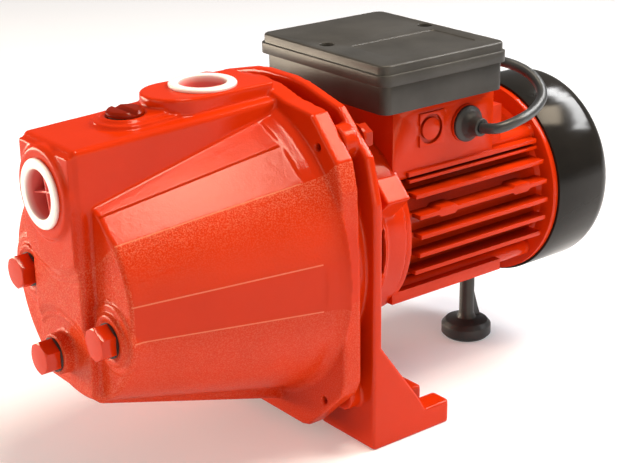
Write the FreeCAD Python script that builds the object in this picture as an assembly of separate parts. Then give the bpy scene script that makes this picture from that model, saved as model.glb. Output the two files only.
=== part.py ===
import FreeCAD, Part
import math
import os

# Self-priming jet pump: cast nose casing with an ejector and one closed impeller,
# driven by a finned single-phase motor. Millimetres. X runs along the shaft, from the
# suction end (-X) to the fan (+X). Z is up. The origin lies on the floor, midway
# between the two slots of the foot, below the shaft.

V = FreeCAD.Vector

# ---------------------------------------------------------------- driving dimensions
shaft_height = 109.2

# casing
nose_wall_x = -169.5
flange_front_x = -50.0
flange_rear_x = -38.0
cone_nose_radius = 61.0
cone_flange_radius = 88.0
casting_wall = 6.0
spine_half_width = 26.4
spine_front_x = -178.0
spine_top_front_z = 195.2
spine_top_rear_z = 200.5
spine_rear_x = -44.0
spine_bottom_front_z = 53.0
spine_bottom_rear_z = 15.0
register_radius = 80.0
port_bore_radius = 15.15          # minor radius of a G1 pipe thread
port_boss_radius = 26.0
suction_face_x = -183.0
suction_z = 167.8
bulge_face_x = -180.6             # round swelling about the suction port
bulge_radius = 41.5
lower_face_x = -175.2             # sunk face about the drain, under an arch
arch_radius = 37.5
arch_centre_z = 59.5
discharge_x = -80.2
discharge_face_z = 208.0
platform_front_x = -117.5
platform_half_width = 20.5
ridge_root_z = 185.0              # inside the spine, where ridge and platform start
ridge_front_x = -147.5            # long low ridge from the priming plug to the flange
ridge_half_width = 18.5
ridge_height = 2.3
ridge_step_width = 4.0
ridge_step_height = 1.8
facet_rear_x = -62.0
plug_thread_radius = 6.58         # G1/4 pipe thread
plug_hole_radius = 6.63
plug_thread_length = 10.0

# bracket
plate_front_x = -29.5
plate_thickness = 6.0
foot_half_width = 85.35
foot_rear_x = 29.4
foot_thickness = 14.0
foot_inner_y = 42.0
foot_web = 5.0
foot_web_top_z = 62.8
foot_web_bend = (4.5, 23.9)
foot_web_end_x = 10.7
foot_slot_y = 65.5
foot_slot_radius = 5.5
drum_radius = 61.0
drum_front_x = 2.0
motor_joint_x = 16.5

# bearings, size 6202
bearing_bore_radius = 7.5
bearing_outer_radius = 17.5
bearing_width = 11.0
ball_radius = 3.0
ball_count = 8
front_bearing_x = 4.0
rear_bearing_x = 129.0

# motor
frame_rear_x = 134.0
frame_core_radius = 50.0
frame_bore_radius = 45.0
fin_tip_radius = 60.0
fin_pitch = 11.8
fin_thickness = 2.6
fin_front_x = 28.5
stack_start_x = 40.0
stack_end_x = 110.0
rotor_radius = 26.7
stator_bore_radius = 27.0
slot_count = 24
tie_rod_radius = 2.5
tie_rod_circle = 53.5
shield_radius = 62.1
shield_front_x = 137.0
shield_rear_x = 142.0
cover_radius = 63.6
cover_rear_x = 192.0
cover_wall = 2.0

# terminal box
box_front_x = 2.0
box_rear_x = 100.0
box_half_width = 55.5
box_floor_z = 186.0
box_split_z = 203.0
box_top_z = 214.9
box_wall = 3.0
lid_front_x = 0.0
lid_rear_x = 96.0
lid_half_width = 58.4
pad_half_width = 46.0
pad_front_x = 18.0
pad_rear_x = 98.0

# cord and foot
cord_diameter = 6.5
grommet_x = 75.0
grommet_z = 167.0
rear_foot_x = 124.8
rear_foot_radius = 16.5

mains_plug_radius = 18.5
mains_plug_place = (108.0, 182.0)
coil_centre = (20.0, 152.0)
coil_outer_radius = 46.8
coil_inner_radius = 24.5

# route of the cord from the gland to the coil, and from the coil to the plug
cord_route = [
    (75.0, -60.2, 167.0), (75.6, -67.0, 167.4), (80.0, -72.5, 169.0), (91.0, -75.0, 172.0),
    (107.0, -71.0, 173.5), (125.0, -62.5, 179.0), (130.5, -45.0, 188.5), (125.0, -22.0, 193.0),
    (117.0, 10.0, 190.0),
    (114.0, 42.0, 175.0), (113.0, 68.0, 147.0), (114.0, 84.0, 112.0), (112.0, 95.0, 74.0),
    (105.0, 103.0, 38.0), (86.0, 107.0, 11.0), (60.0, 109.5, 3.25), (20.0, 108.5, 3.25),
]
cord_tail_route = [
    (20.0, 191.0, 9.75), (40.0, 192.0, 8.0), (58.0, 189.0, 3.25), (76.0, 184.0, 3.6),
    (92.0, 182.0, 11.0), (108.0, 182.0, 18.5),
]

# ---------------------------------------------------------------- derived dimensions
plate_rear_x = plate_front_x + plate_thickness
cone_slope = (cone_flange_radius - cone_nose_radius) / (flange_front_x - nose_wall_x)
bearing_pitch_radius = (bearing_bore_radius + bearing_outer_radius) / 2


def cone_radius(x):
    """Outer radius of the casing's cone at x."""
    return cone_nose_radius + (x - nose_wall_x) * cone_slope


# ---------------------------------------------------------------- shape helpers
def box(x0, x1, y0, y1, z0, z1):
    return Part.makeBox(x1 - x0, y1 - y0, z1 - z0, V(x0, y0, z0))


def rod_x(radius, x0, x1, y=0.0, z=shaft_height):
    return Part.makeCylinder(radius, x1 - x0, V(x0, y, z), V(1, 0, 0))


def rod_y(radius, y0, y1, x, z):
    return Part.makeCylinder(radius, y1 - y0, V(x, y0, z), V(0, 1, 0))


def rod_z(radius, z0, z1, x, y=0.0):
    return Part.makeCylinder(radius, z1 - z0, V(x, y, z0), V(0, 0, 1))


def ring_x(outer, inner, x0, x1, y=0.0, z=shaft_height):
    return rod_x(outer, x0, x1, y, z).cut(rod_x(inner, x0 - 1, x1 + 1, y, z))


def ring_z(outer, inner, z0, z1, x, y=0.0):
    return rod_z(outer, z0, z1, x, y).cut(rod_z(inner, z0 - 1, z1 + 1, x, y))


def wire(points):
    """Closed wire through points; a tuple of two points after a point is an arc (middle, end)."""
    edges = []
    here = points[0]
    for item in points[1:] + [points[0]]:
        if isinstance(item, tuple):
            edges.append(Part.Arc(here, item[0], item[1]).toShape())
            here = item[1]
        elif (item - here).Length > 1e-6:
            edges.append(Part.LineSegment(here, item).toShape())
            here = item
    return Part.Wire(edges)


def turned_outline(outline):
    """Solid turned about the shaft's axis from an outline in the plane y = 0."""
    return Part.Face(wire(outline)).revolve(V(0, 0, shaft_height), V(1, 0, 0), 360)


def turned(points):
    """Solid turned about the shaft's axis from (x, radius) points."""
    return turned_outline([V(x, 0, shaft_height + r) for x, r in points])


def turned_z(points, x, y=0.0):
    """Solid turned about the upright line through (x, y) from (radius, z) points."""
    outline = [V(x + r, y, z) for r, z in points]
    face = Part.Face(wire(outline))
    return face.revolve(V(x, y, 0), V(0, 0, 1), 360)


def slab_x(points, x0, x1):
    """Solid of a (y, z) outline drawn along X."""
    face = Part.Face(wire([V(x0, y, z) for y, z in points]))
    return face.extrude(V(x1 - x0, 0, 0))


def slab_y(points, y0, y1):
    """Solid of an (x, z) outline drawn along Y."""
    face = Part.Face(wire([V(x, y0, z) for x, z in points]))
    return face.extrude(V(0, y1 - y0, 0))


def hexagon(across_flats, length, turn=0.0):
    """Hexagonal prism about +Z from the origin."""
    corner = across_flats / math.sqrt(3)
    angles = [math.radians(60 * i + turn) for i in range(6)]
    points = [V(corner * math.cos(a), corner * math.sin(a), 0) for a in angles]
    return Part.Face(wire(points)).extrude(V(0, 0, length))


def joined(shapes):
    whole = shapes[0]
    for shape in shapes[1:]:
        whole = whole.fuse(shape)
    return whole.removeSplitter()


def carved(shape, tools):
    for tool in tools:
        shape = shape.cut(tool)
    return shape


def rounded(shape, radius, wanted):
    """Fillet of the edges that wanted(edge) picks."""
    edges = [e for e in shape.Edges if wanted(e)]
    return shape.makeFillet(radius, edges)


def runs_along(edge, axis):
    """True for a straight edge parallel to axis."""
    if not isinstance(edge.Curve, Part.Line):
        return False
    return abs(abs(edge.Curve.Direction.dot(axis)) - 1) < 1e-6


def turned_about_shaft(shape, angle):
    copy = shape.copy()
    copy.rotate(V(0, 0, shaft_height), V(1, 0, 0), angle)
    return copy


def placed_along(shape, base, direction):
    """Shape made about +Z from the origin, moved to base with +Z turned to direction."""
    copy = shape.copy()
    copy.Placement = FreeCAD.Placement(base, FreeCAD.Rotation(V(0, 0, 1), direction))
    return copy


def polar(radius, angle):
    """(y, z) of a point at radius and angle from -Y towards +Z about the shaft."""
    a = math.radians(angle)
    return -radius * math.cos(a), shaft_height + radius * math.sin(a)


# ---------------------------------------------------------------- where the plugs sit
# name: (thread mouth, direction the plug leaves, boss radius)
plug_seats = {
    "near_side": (V(-172.5, -42.4, 96.3), V(-1, 0, 0), 14.0),
    "far_side": (V(-172.5, 40.0, 111.0), V(-1, 0, 0), 14.0),
    "drain": (V(-182.6, 0.0, 76.3), V(-1, 0, 0), 11.5),
    "priming": (V(-130.2, 0.0, 199.9), V(0, 0, 1), 12.5),
}
side_boss_radius = 19.5
seat_lip = 0.7
plug_seat_radius = 11.2
box_screw_places = [(24.0, -37.5), (24.0, 37.5), (88.0, -37.5), (88.0, 37.5)]
ear_bolts = [(-62.5, 71.5), (62.5, 71.5), (-66.0, -77.5), (66.0, -77.5)]
ear_bolt_radius = 3.95
ear_bolt_end_x = flange_front_x + 4.0
ear_pilot_radius = 2.3
ear_washer_thickness = 1.6
tie_rod_places = [polar(tie_rod_circle, angle) for angle in (45, 135, 225, 315)]


# ---------------------------------------------------------------- casing
def flange_outline():
    """(y, z) outline of the casing's flange: arched top, flat sides, cut corners."""
    arch = 97.0
    half = []
    for angle in (90, 80, 70):
        half.append((arch * math.cos(math.radians(angle)), arch * math.sin(math.radians(angle))))
    half += [(57.0, 88.5), (78.0, 66.0), (82.0, 50.0), (84.5, 0.0), (84.5, -62.0), (81.0, -70.5)]
    half += [(51.0, -99.5), (45.0, -101.2)]
    mirrored = [(-y, z) for y, z in reversed(half) if y > 1e-6]
    return [(y, z + shaft_height) for y, z in half + mirrored]


def spine_top_z(x):
    """Height of the spine's top, which rises towards the flange."""
    share = (x - spine_front_x) / (spine_rear_x - spine_front_x)
    return spine_top_front_z + share * (spine_top_rear_z - spine_top_front_z)


def spine_outline():
    """(x, z) outline of the flat-sided box that runs over the cone from end to end."""
    return [
        (spine_front_x, spine_bottom_front_z + 6.0),
        (spine_front_x, spine_top_front_z),
        (spine_rear_x, spine_top_rear_z),
        (spine_rear_x, spine_bottom_rear_z),
        (spine_front_x + 8.0, spine_bottom_front_z - 1.0),
    ]


def cone_facet(low_angle, high_angle):
    """What is cut off the cone to leave it flat between two of its straight lines."""
    half = math.radians((high_angle - low_angle) / 2)
    front = nose_wall_x - 5.0
    rear = facet_rear_x
    reach = 110.0
    cut = slab_y([
        (front, shaft_height + cone_radius(front) * math.cos(half)),
        (rear, shaft_height + cone_radius(rear) * math.cos(half)),
        (rear + 4.0, shaft_height + reach),
        (front, shaft_height + reach),
    ], -reach, reach)
    return turned_about_shaft(cut, 90 - (low_angle + high_angle) / 2)


def cone():
    """Nose of the casing, flat in three bands on each side."""
    shape = turned([
        (nose_wall_x, 0.0),
        (nose_wall_x, cone_nose_radius - 1.5),
        (nose_wall_x + 1.5, cone_radius(nose_wall_x + 1.5)),
        (flange_front_x - 5.0, cone_radius(flange_front_x - 5.0)),
        (flange_front_x - 1.5, cone_radius(flange_front_x) + 1.0),
        (flange_front_x + 1.0, cone_radius(flange_front_x) + 4.0),
        (flange_front_x + 1.0, 0.0),
    ])
    tools = []
    for low, high in ((-9.0, 9.4), (40.0, 57.0), (57.0, 73.0)):
        tools.append(cone_facet(low, high))
        tools.append(cone_facet(180 - high, 180 - low))
    return carved(shape, tools)


def ridge(half_width, front, top):
    """Round-ended bar along the spine's top; top is its height over the spine or a level."""
    rear = flange_front_x + 3.0
    centre = front + half_width
    low, high = ridge_root_z, discharge_face_z + 7.0
    bar = box(centre, rear, -half_width, half_width, low, high)
    plan = rod_z(half_width, low, high, centre).fuse(bar)
    under = slab_y([
        (front - 1, low + 1), (front - 1, spine_top_z(front - 1) + top),
        (rear + 1, spine_top_z(rear + 1) + top), (rear + 1, low + 1),
    ], -half_width - 1, half_width + 1)
    return plan.common(under)


def discharge_platform():
    """Level round-ended block that carries the discharge port."""
    half = platform_half_width
    centre = platform_front_x + half
    bar = box(centre, flange_front_x + 3.0, -half, half, ridge_root_z, discharge_face_z)
    plan = joined([rod_z(half, ridge_root_z, discharge_face_z, centre), bar])
    return rounded(plan, 1.2, lambda e: abs(e.CenterOfMass.z - discharge_face_z) < 0.01
                   and e.CenterOfMass.x < flange_front_x)


def suction_bulge():
    """Low round swelling about the suction port, with a sloped edge and a bead at its foot."""
    rim_width = 5.0
    foot_x = spine_front_x + 0.1
    disc = Part.makeCone(
        bulge_radius + rim_width, bulge_radius, foot_x - bulge_face_x,
        V(foot_x, 0, suction_z), V(-1, 0, 0))
    bead_centre = V(spine_front_x + 0.3, 0, suction_z)
    bead = Part.makeTorus(bulge_radius + rim_width + 0.6, 1.3, bead_centre, V(1, 0, 0))
    band = box(-200, foot_x + 3, -spine_half_width + 1, spine_half_width - 1, 100, spine_top_front_z - 3)
    return disc.fuse(bead).common(band)


def lower_face_cut():
    """What is cut off the spine's front below the arch, with the arch's sloped edge."""
    slope = 2.0
    depth = lower_face_x - spine_front_x + 4.0
    cut = Part.makeCone(
        arch_radius, arch_radius + slope * depth, depth, V(lower_face_x, 0, arch_centre_z), V(-1, 0, 0))
    return cut.common(box(-200, -150, -40, 40, 0, 110))


def arch_bead():
    bead = Part.makeTorus(arch_radius - 0.8, 1.1, V(lower_face_x + 0.2, 0, arch_centre_z), V(1, 0, 0))
    return bead.common(box(-200, -150, -spine_half_width + 1, spine_half_width - 1, 80, 110))


def side_bosses():
    """Outer step of the stepped rings about the two side plugs."""
    bosses = []
    for name in ("near_side", "far_side"):
        mouth = plug_seats[name][0]
        front = mouth.x + 1.5
        boss = rod_x(side_boss_radius, front, front + 12.0, mouth.y, mouth.z)
        bosses.append(rounded(boss, 1.2, lambda e, front=front: abs(e.CenterOfMass.x - front) < 0.01))
    return bosses


def casing_outside():
    flange = slab_x(flange_outline(), flange_front_x, flange_rear_x)
    flange = rounded(flange, 1.6, lambda e: abs(e.CenterOfMass.x - flange_front_x) < 0.01)
    spine = slab_y(spine_outline(), -spine_half_width, spine_half_width)
    spine = rounded(spine, 3.0, lambda e: abs(e.CenterOfMass.x - spine_rear_x) > 1.0)
    suction_boss = rod_x(port_boss_radius, suction_face_x, spine_front_x + 6.0, 0.0, suction_z)
    suction_boss = suction_boss.makeChamfer(
        2.0, [e for e in suction_boss.Edges if abs(e.CenterOfMass.x - suction_face_x) < 0.01])
    low_ridge = ridge(ridge_half_width, ridge_front_x, ridge_height)
    high_ridge = ridge(ridge_half_width - ridge_step_width, ridge_front_x + ridge_step_width,
                       ridge_height + ridge_step_height)
    shape = joined([cone(), flange, spine, suction_bulge(), suction_boss, low_ridge, high_ridge])
    shape = shape.cut(lower_face_cut())
    parts = [shape, arch_bead(), discharge_platform()] + side_bosses()
    for name, (mouth, way, radius) in plug_seats.items():
        depth = 14.0
        lip = seat_lip if name.endswith("side") else 0.0
        parts.append(Part.makeCylinder(radius, depth + lip, mouth - way * depth, way))
    return joined(parts)


def casing_inside():
    wall = casting_wall
    cavity = turned([
        (nose_wall_x + wall, 0.0),
        (nose_wall_x + wall, cone_nose_radius - wall),
        (-56.0, cone_radius(-56.0) - wall - 1.5),
        (-52.0, register_radius - 4.0),
        (-47.0, register_radius - 4.0),
        (-47.0, register_radius),
        (flange_rear_x + 1, register_radius),
        (flange_rear_x + 1, 0.0),
    ])
    roof = slab_y([
        (spine_front_x + wall, 120.0),
        (spine_front_x + wall, spine_top_front_z - wall),
        (-56.0, spine_top_z(-56.0) - wall),
        (-56.0, 120.0),
    ], -spine_half_width + wall, spine_half_width - wall)
    return cavity.fuse(roof)


def pump_casing():
    shape = casing_outside().cut(casing_inside())
    inner_bosses = [ring_x(15.0, 11.0, nose_wall_x + 2.0, -152.0)]
    tools = []
    for mouth, way, _ in plug_seats.values():
        inner_bosses.append(Part.makeCylinder(10.5, 14.0, mouth - way * 14.0, way))
        tools.append(Part.makeCylinder(plug_hole_radius, 40.0, mouth - way * 30.0, way))
        tools.append(Part.makeCylinder(plug_seat_radius, 12.0, mouth, way))
    tools.append(rod_x(port_bore_radius, suction_face_x - 5, spine_front_x + 20, 0.0, suction_z))
    tools.append(rod_z(port_bore_radius, 180.0, discharge_face_z + 5, discharge_x))
    for y, z in ear_bolts:
        tools.append(rod_x(ear_bolt_radius + 0.05, ear_bolt_end_x, flange_rear_x + 1, y, shaft_height + z))
        tools.append(rod_x(ear_pilot_radius, flange_front_x - 1, ear_bolt_end_x + 1, y, shaft_height + z))
    return carved(joined([shape] + inner_bosses), tools)


# ---------------------------------------------------------------- ejector and diffuser
def ejector_nozzle():
    return turned([
        (-162.0, 4.8), (-162.0, 10.95), (-151.0, 10.95), (-151.0, 12.6), (-148.0, 12.6),
        (-146.0, 9.0), (-138.0, 6.2), (-138.0, 4.0), (-152.0, 4.8),
    ])


def venturi_tube():
    return turned([
        (-134.0, 11.0), (-134.0, 13.0), (-128.0, 10.0), (-100.0, 12.0), (-92.5, 12.8),
        (-92.5, 16.0), (-90.0, 16.0), (-90.0, 13.95), (-83.0, 13.95), (-83.0, 11.0),
        (-122.0, 6.0), (-128.0, 6.0),
    ])


def diffuser():
    cup = turned([
        (-90.0, 14.0), (-90.0, 17.5), (-82.0, 18.5), (-80.5, 22.0), (-80.5, 72.0), (-52.0, 72.0),
        (-52.0, 75.9), (-46.0, 75.9), (-46.0, 69.0), (-76.5, 69.0), (-76.5, 22.0), (-78.5, 18.0),
        (-81.0, 14.0),
    ])
    parts = [cup]
    vane = box(-77.0, -58.0, 61.6, 70.0, shaft_height - 1.2, shaft_height + 1.2)
    vane.rotate(V(0, 61.6, shaft_height), V(1, 0, 0), 28)
    for i in range(8):
        parts.append(turned_about_shaft(vane, 45 * i))
    return joined(parts)


def casing_o_ring():
    centre = V(-43.0, 0, shaft_height)
    return Part.makeTorus(78.45, 1.5, centre, V(1, 0, 0))


def casing_bolts():
    """Four M8 bolts from the bracket's rear face into the casing's ears, each with a washer."""
    solids = []
    for y, z in ear_bolts:
        height = shaft_height + z
        head_x = plate_rear_x + ear_washer_thickness
        shank = rod_x(ear_bolt_radius, ear_bolt_end_x + 0.5, head_x, y, height)
        head = placed_along(hexagon(13.0, 5.3), V(head_x, y, height), V(1, 0, 0))
        solids.append(joined([shank, head]))
        solids.append(ring_x(8.0, ear_bolt_radius + 0.15, plate_rear_x, head_x, y, height))
    return Part.makeCompound(solids)


# ---------------------------------------------------------------- bracket
def plate_outline():
    """(y, z) outline of the bracket's plate: flat sides to the floor, cut corners, arched top."""
    points = []
    for angle in (90, 83, 76):
        a = math.radians(angle)
        radius = 97.0 + (90 - angle) * 0.12
        points.append((radius * math.cos(a), shaft_height + radius * math.sin(a)))
    points += [(54.5, shaft_height + 88.2), (78.5, shaft_height + 65.0)]
    points += [(foot_half_width, shaft_height + 39.0)]
    points += [(foot_half_width, 0.0), (38.0, 0.0), (34.0, 9.0)]
    mirrored = [(-y, z) for y, z in reversed(points) if y > 1e-6]
    return points + mirrored


def bell_outside():
    """Full solid inside the outer surface of the bell that joins the plate to the motor."""
    return turned([
        (plate_rear_x, 0.0), (plate_rear_x, 82.0), (drum_front_x, drum_radius),
        (motor_joint_x, drum_radius), (motor_joint_x, 0.0),
    ])


def foot(side):
    """One foot pad with its two webs and a slot open to the rear; side is -1 or 1."""
    inner = foot_inner_y
    web = foot_web
    pad = box(plate_rear_x, foot_rear_x, inner, foot_half_width, 0.0, foot_thickness)
    pad = rounded(pad, 2.5, lambda e: runs_along(e, V(0, 0, 1)) and e.CenterOfMass.x > 0)
    outline = [
        (plate_rear_x, 0.5), (plate_rear_x, foot_web_top_z), foot_web_bend,
        (foot_web_end_x, foot_thickness), (foot_web_end_x, 0.5),
    ]
    outer_web = slab_y(outline, foot_half_width - web, foot_half_width)
    inner_web = slab_y(outline, inner, inner + web)
    slot = rod_z(foot_slot_radius, -1.0, foot_thickness + 1, 0.0, foot_slot_y)
    slot_mouth = box(0.0, foot_rear_x + 1, foot_slot_y - foot_slot_radius,
                     foot_slot_y + foot_slot_radius, -1.0, foot_thickness + 1)
    shape = carved(joined([pad, outer_web, inner_web]), [slot, slot_mouth, bell_outside()])
    if side < 0:
        shape = shape.mirror(V(0, 0, 0), V(0, 1, 0))
    return shape


def bracket_lug(side):
    """Cast block with a flat face at 45 degrees, between the plate and the drum."""
    block = box(-9.0, 8.0, -8.3, 8.3, 50.0, 74.7)
    block.translate(V(0, -20.4, 0))
    block.rotate(V(0, 0, 0), V(1, 0, 0), 45)
    block.translate(V(0, 0, shaft_height))
    if side > 0:
        block = block.mirror(V(0, 0, 0), V(0, 1, 0))
    return block


def motor_bracket():
    plate = slab_x(plate_outline(), plate_front_x, plate_rear_x)
    plate = rounded(plate, 1.5, lambda e: abs(e.CenterOfMass.x - plate_front_x) < 0.01)
    spigot = turned([
        (-46.0, 9.5), (-46.0, 79.9), (plate_rear_x, 79.9), (plate_rear_x, 74.0),
        (-40.0, 74.0), (-40.0, 18.0), (-37.0, 17.0), (-37.0, 9.5),
    ])
    bell = turned([
        (plate_rear_x - 1, 74.0), (plate_rear_x - 1, 82.0), (drum_front_x, drum_radius),
        (motor_joint_x, drum_radius), (motor_joint_x, 56.0), (4.0, 56.0), (4.0, 23.0),
        (15.0, 22.0), (15.0, 12.0), (-2.0, 12.0), (-2.0, 56.0), (-6.0, 59.5),
    ])
    parts = [plate, spigot, bell, bracket_lug(-1), bracket_lug(1)]
    for y, z in ear_bolts:
        parts.append(rod_x(9.5, flange_rear_x, plate_front_x + 1, y, shaft_height + z))
    for y, z in tie_rod_places:
        parts.append(rod_x(6.0, -1.0, motor_joint_x, y, z))
    shape = joined(parts)
    tools = [rod_x(73.9, -40.0, plate_rear_x - 0.5).cut(rod_x(18.5, -41.0, -36.0))]
    tools.append(turned([
        (-25.0, 0.0), (-25.0, 74.0), (plate_rear_x, 74.0), (-6.0, 59.4), (-2.0, 55.9), (-2.0, 0.0),
    ]))
    tools.append(ring_x(81.0, 76.9, -44.5, -41.5))
    tools.append(rod_x(13.0, -47.0, -40.5))
    tools.append(rod_x(bearing_outer_radius, front_bearing_x, 16.0))
    tools.append(rod_x(12.0, -3.0, 5.0))
    for side in (-1, 1):
        y0, y1 = sorted((side * 50.0, side * 84.0))
        tools.append(box(-22.0, -3.0, y0, y1, 96.0, 124.0))
    for y, z in ear_bolts:
        tools.append(rod_x(4.1, flange_rear_x - 1, plate_rear_x + 1, y, shaft_height + z))
        tools.append(rod_x(9.5, plate_rear_x, 6.0, y, shaft_height + z))
    for y, z in tie_rod_places:
        tools.append(rod_x(tie_rod_radius + 0.1, 3.0, motor_joint_x + 1, y, z))
    return carved(shape, tools)


# ---------------------------------------------------------------- shaft seal and slinger
def seal_seat():
    return ring_x(12.95, 8.5, -46.0, -40.5)


def seal_carbon_ring():
    return ring_x(11.5, 8.2, -49.5, -46.05)


def seal_bellows():
    return turned([
        (-59.3, 7.55), (-59.3, 12.5), (-57.5, 12.5), (-56.5, 10.0), (-55.5, 12.0), (-54.0, 10.0),
        (-53.0, 12.0), (-51.5, 10.0), (-50.5, 12.5), (-49.5, 12.5), (-49.5, 8.2), (-51.0, 7.55),
    ])


def water_slinger():
    return turned([(-35.0, 7.5), (-35.0, 19.0), (-33.5, 19.0), (-32.5, 11.0), (-29.0, 10.0), (-29.0, 7.5)])


# ---------------------------------------------------------------- rotor
def motor_shaft():
    shaft = turned([
        (-74.0, 0.0), (-74.0, 5.0), (-65.0, 5.0), (-65.0, 6.5), (-59.5, 6.5), (-59.5, 7.5),
        (2.0, 7.5), (front_bearing_x + bearing_width, 7.5), (front_bearing_x + bearing_width, 10.0),
        (124.0, 10.0), (124.0, 7.5), (140.5, 7.5), (140.5, 7.0), (168.0, 7.0), (168.0, 0.0),
    ])
    keyway = box(-65.5, -59.0, -1.5, 1.5, shaft_height + 4.5, shaft_height + 8.0)
    return shaft.cut(keyway)


def impeller_key():
    return box(-65.0, -59.5, -1.45, 1.45, shaft_height + 4.5, shaft_height + 7.4)


def impeller_nut():
    nut = placed_along(hexagon(14.0, 6.0), V(-71.5, 0, shaft_height), V(1, 0, 0))
    return nut.cut(rod_x(5.0, -73.0, -65.0))


def impeller():
    back = turned([(-65.5, 6.5), (-65.5, 11.0), (-62.5, 14.0), (-62.0, 60.0), (-59.5, 60.0), (-59.5, 6.5)])
    front = turned([
        (-80.0, 12.0), (-80.0, 13.7), (-75.5, 13.7), (-74.0, 20.0), (-70.0, 60.0), (-68.0, 60.0),
        (-72.0, 20.0), (-74.0, 12.0),
    ])
    vane = box(-72.5, -61.0, 17.0, 59.0, shaft_height - 1.1, shaft_height + 1.1)
    vane.rotate(V(0, 17.0, shaft_height), V(1, 0, 0), 35)
    room = turned([
        (-74.0, 12.0), (-72.6, 20.0), (-69.0, 60.0), (-61.0, 60.0), (-61.5, 12.0),
    ])
    parts = [back, front]
    for i in range(6):
        parts.append(turned_about_shaft(vane.common(room), 60 * i))
    keyway = box(-66.0, -59.0, -1.5, 1.5, shaft_height + 6.0, shaft_height + 8.0)
    return joined(parts).cut(keyway)


def rotor_core():
    core = ring_x(rotor_radius, 10.0, stack_start_x, stack_end_x)
    bars = []
    for i in range(18):
        y, z = polar(23.0, 20 * i)
        bars.append(rod_x(1.8, stack_start_x - 1, stack_end_x + 1, y, z))
    return carved(core, bars)


def rotor_cage():
    """Cast aluminium bars joined by an end ring with small fan blades at each end."""
    parts = [
        ring_x(26.0, 17.0, stack_start_x - 6.0, stack_start_x),
        ring_x(26.0, 17.0, stack_end_x, stack_end_x + 6.0),
    ]
    for i in range(18):
        y, z = polar(23.0, 20 * i)
        parts.append(rod_x(1.75, stack_start_x - 0.5, stack_end_x + 0.5, y, z))
    for i in range(6):
        for x0, x1 in ((stack_start_x - 14.0, stack_start_x - 5.5), (stack_end_x + 5.5, stack_end_x + 11.0)):
            blade = box(x0, x1, -1.0, 1.0, shaft_height + 18.0, shaft_height + 25.0)
            parts.append(turned_about_shaft(blade, 60 * i))
    return joined(parts)


# ---------------------------------------------------------------- bearings
def race_groove(middle):
    """Ring of round section that leaves the balls their running clearance."""
    return Part.makeTorus(bearing_pitch_radius, ball_radius + 0.06, V(middle, 0, shaft_height), V(1, 0, 0))


def bearing_outer_ring(start):
    ring = ring_x(bearing_outer_radius, bearing_outer_radius - 3.2, start, start + bearing_width)
    return ring.cut(race_groove(start + bearing_width / 2))


def bearing_inner_ring(start):
    ring = ring_x(bearing_bore_radius + 3.2, bearing_bore_radius, start, start + bearing_width)
    return ring.cut(race_groove(start + bearing_width / 2))


def ball_centres():
    for start in (front_bearing_x, rear_bearing_x):
        middle = start + bearing_width / 2
        for i in range(ball_count):
            y, z = polar(bearing_pitch_radius, 360 / ball_count * i)
            yield V(middle, y, z)


def bearing_balls():
    return Part.makeCompound([Part.makeSphere(ball_radius, c) for c in ball_centres()])


def bearing_cages():
    """One pocketed ring per bearing that keeps the balls apart."""
    cages = []
    for start in (front_bearing_x, rear_bearing_x):
        middle = start + bearing_width / 2
        cage = ring_x(bearing_pitch_radius + 0.9, bearing_pitch_radius - 0.9, middle - 4.2, middle + 4.2)
        for centre in ball_centres():
            if abs(centre.x - middle) < 1:
                cage = cage.cut(Part.makeSphere(ball_radius + 0.12, centre))
        cages.append(cage)
    return Part.makeCompound(cages)


def bearing_wave_washer():
    return ring_x(17.2, 13.5, rear_bearing_x + bearing_width + 0.1, rear_bearing_x + bearing_width + 1.4)


# ---------------------------------------------------------------- motor
def fin_half_width(level):
    return math.sqrt(fin_tip_radius ** 2 - level ** 2)


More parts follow.
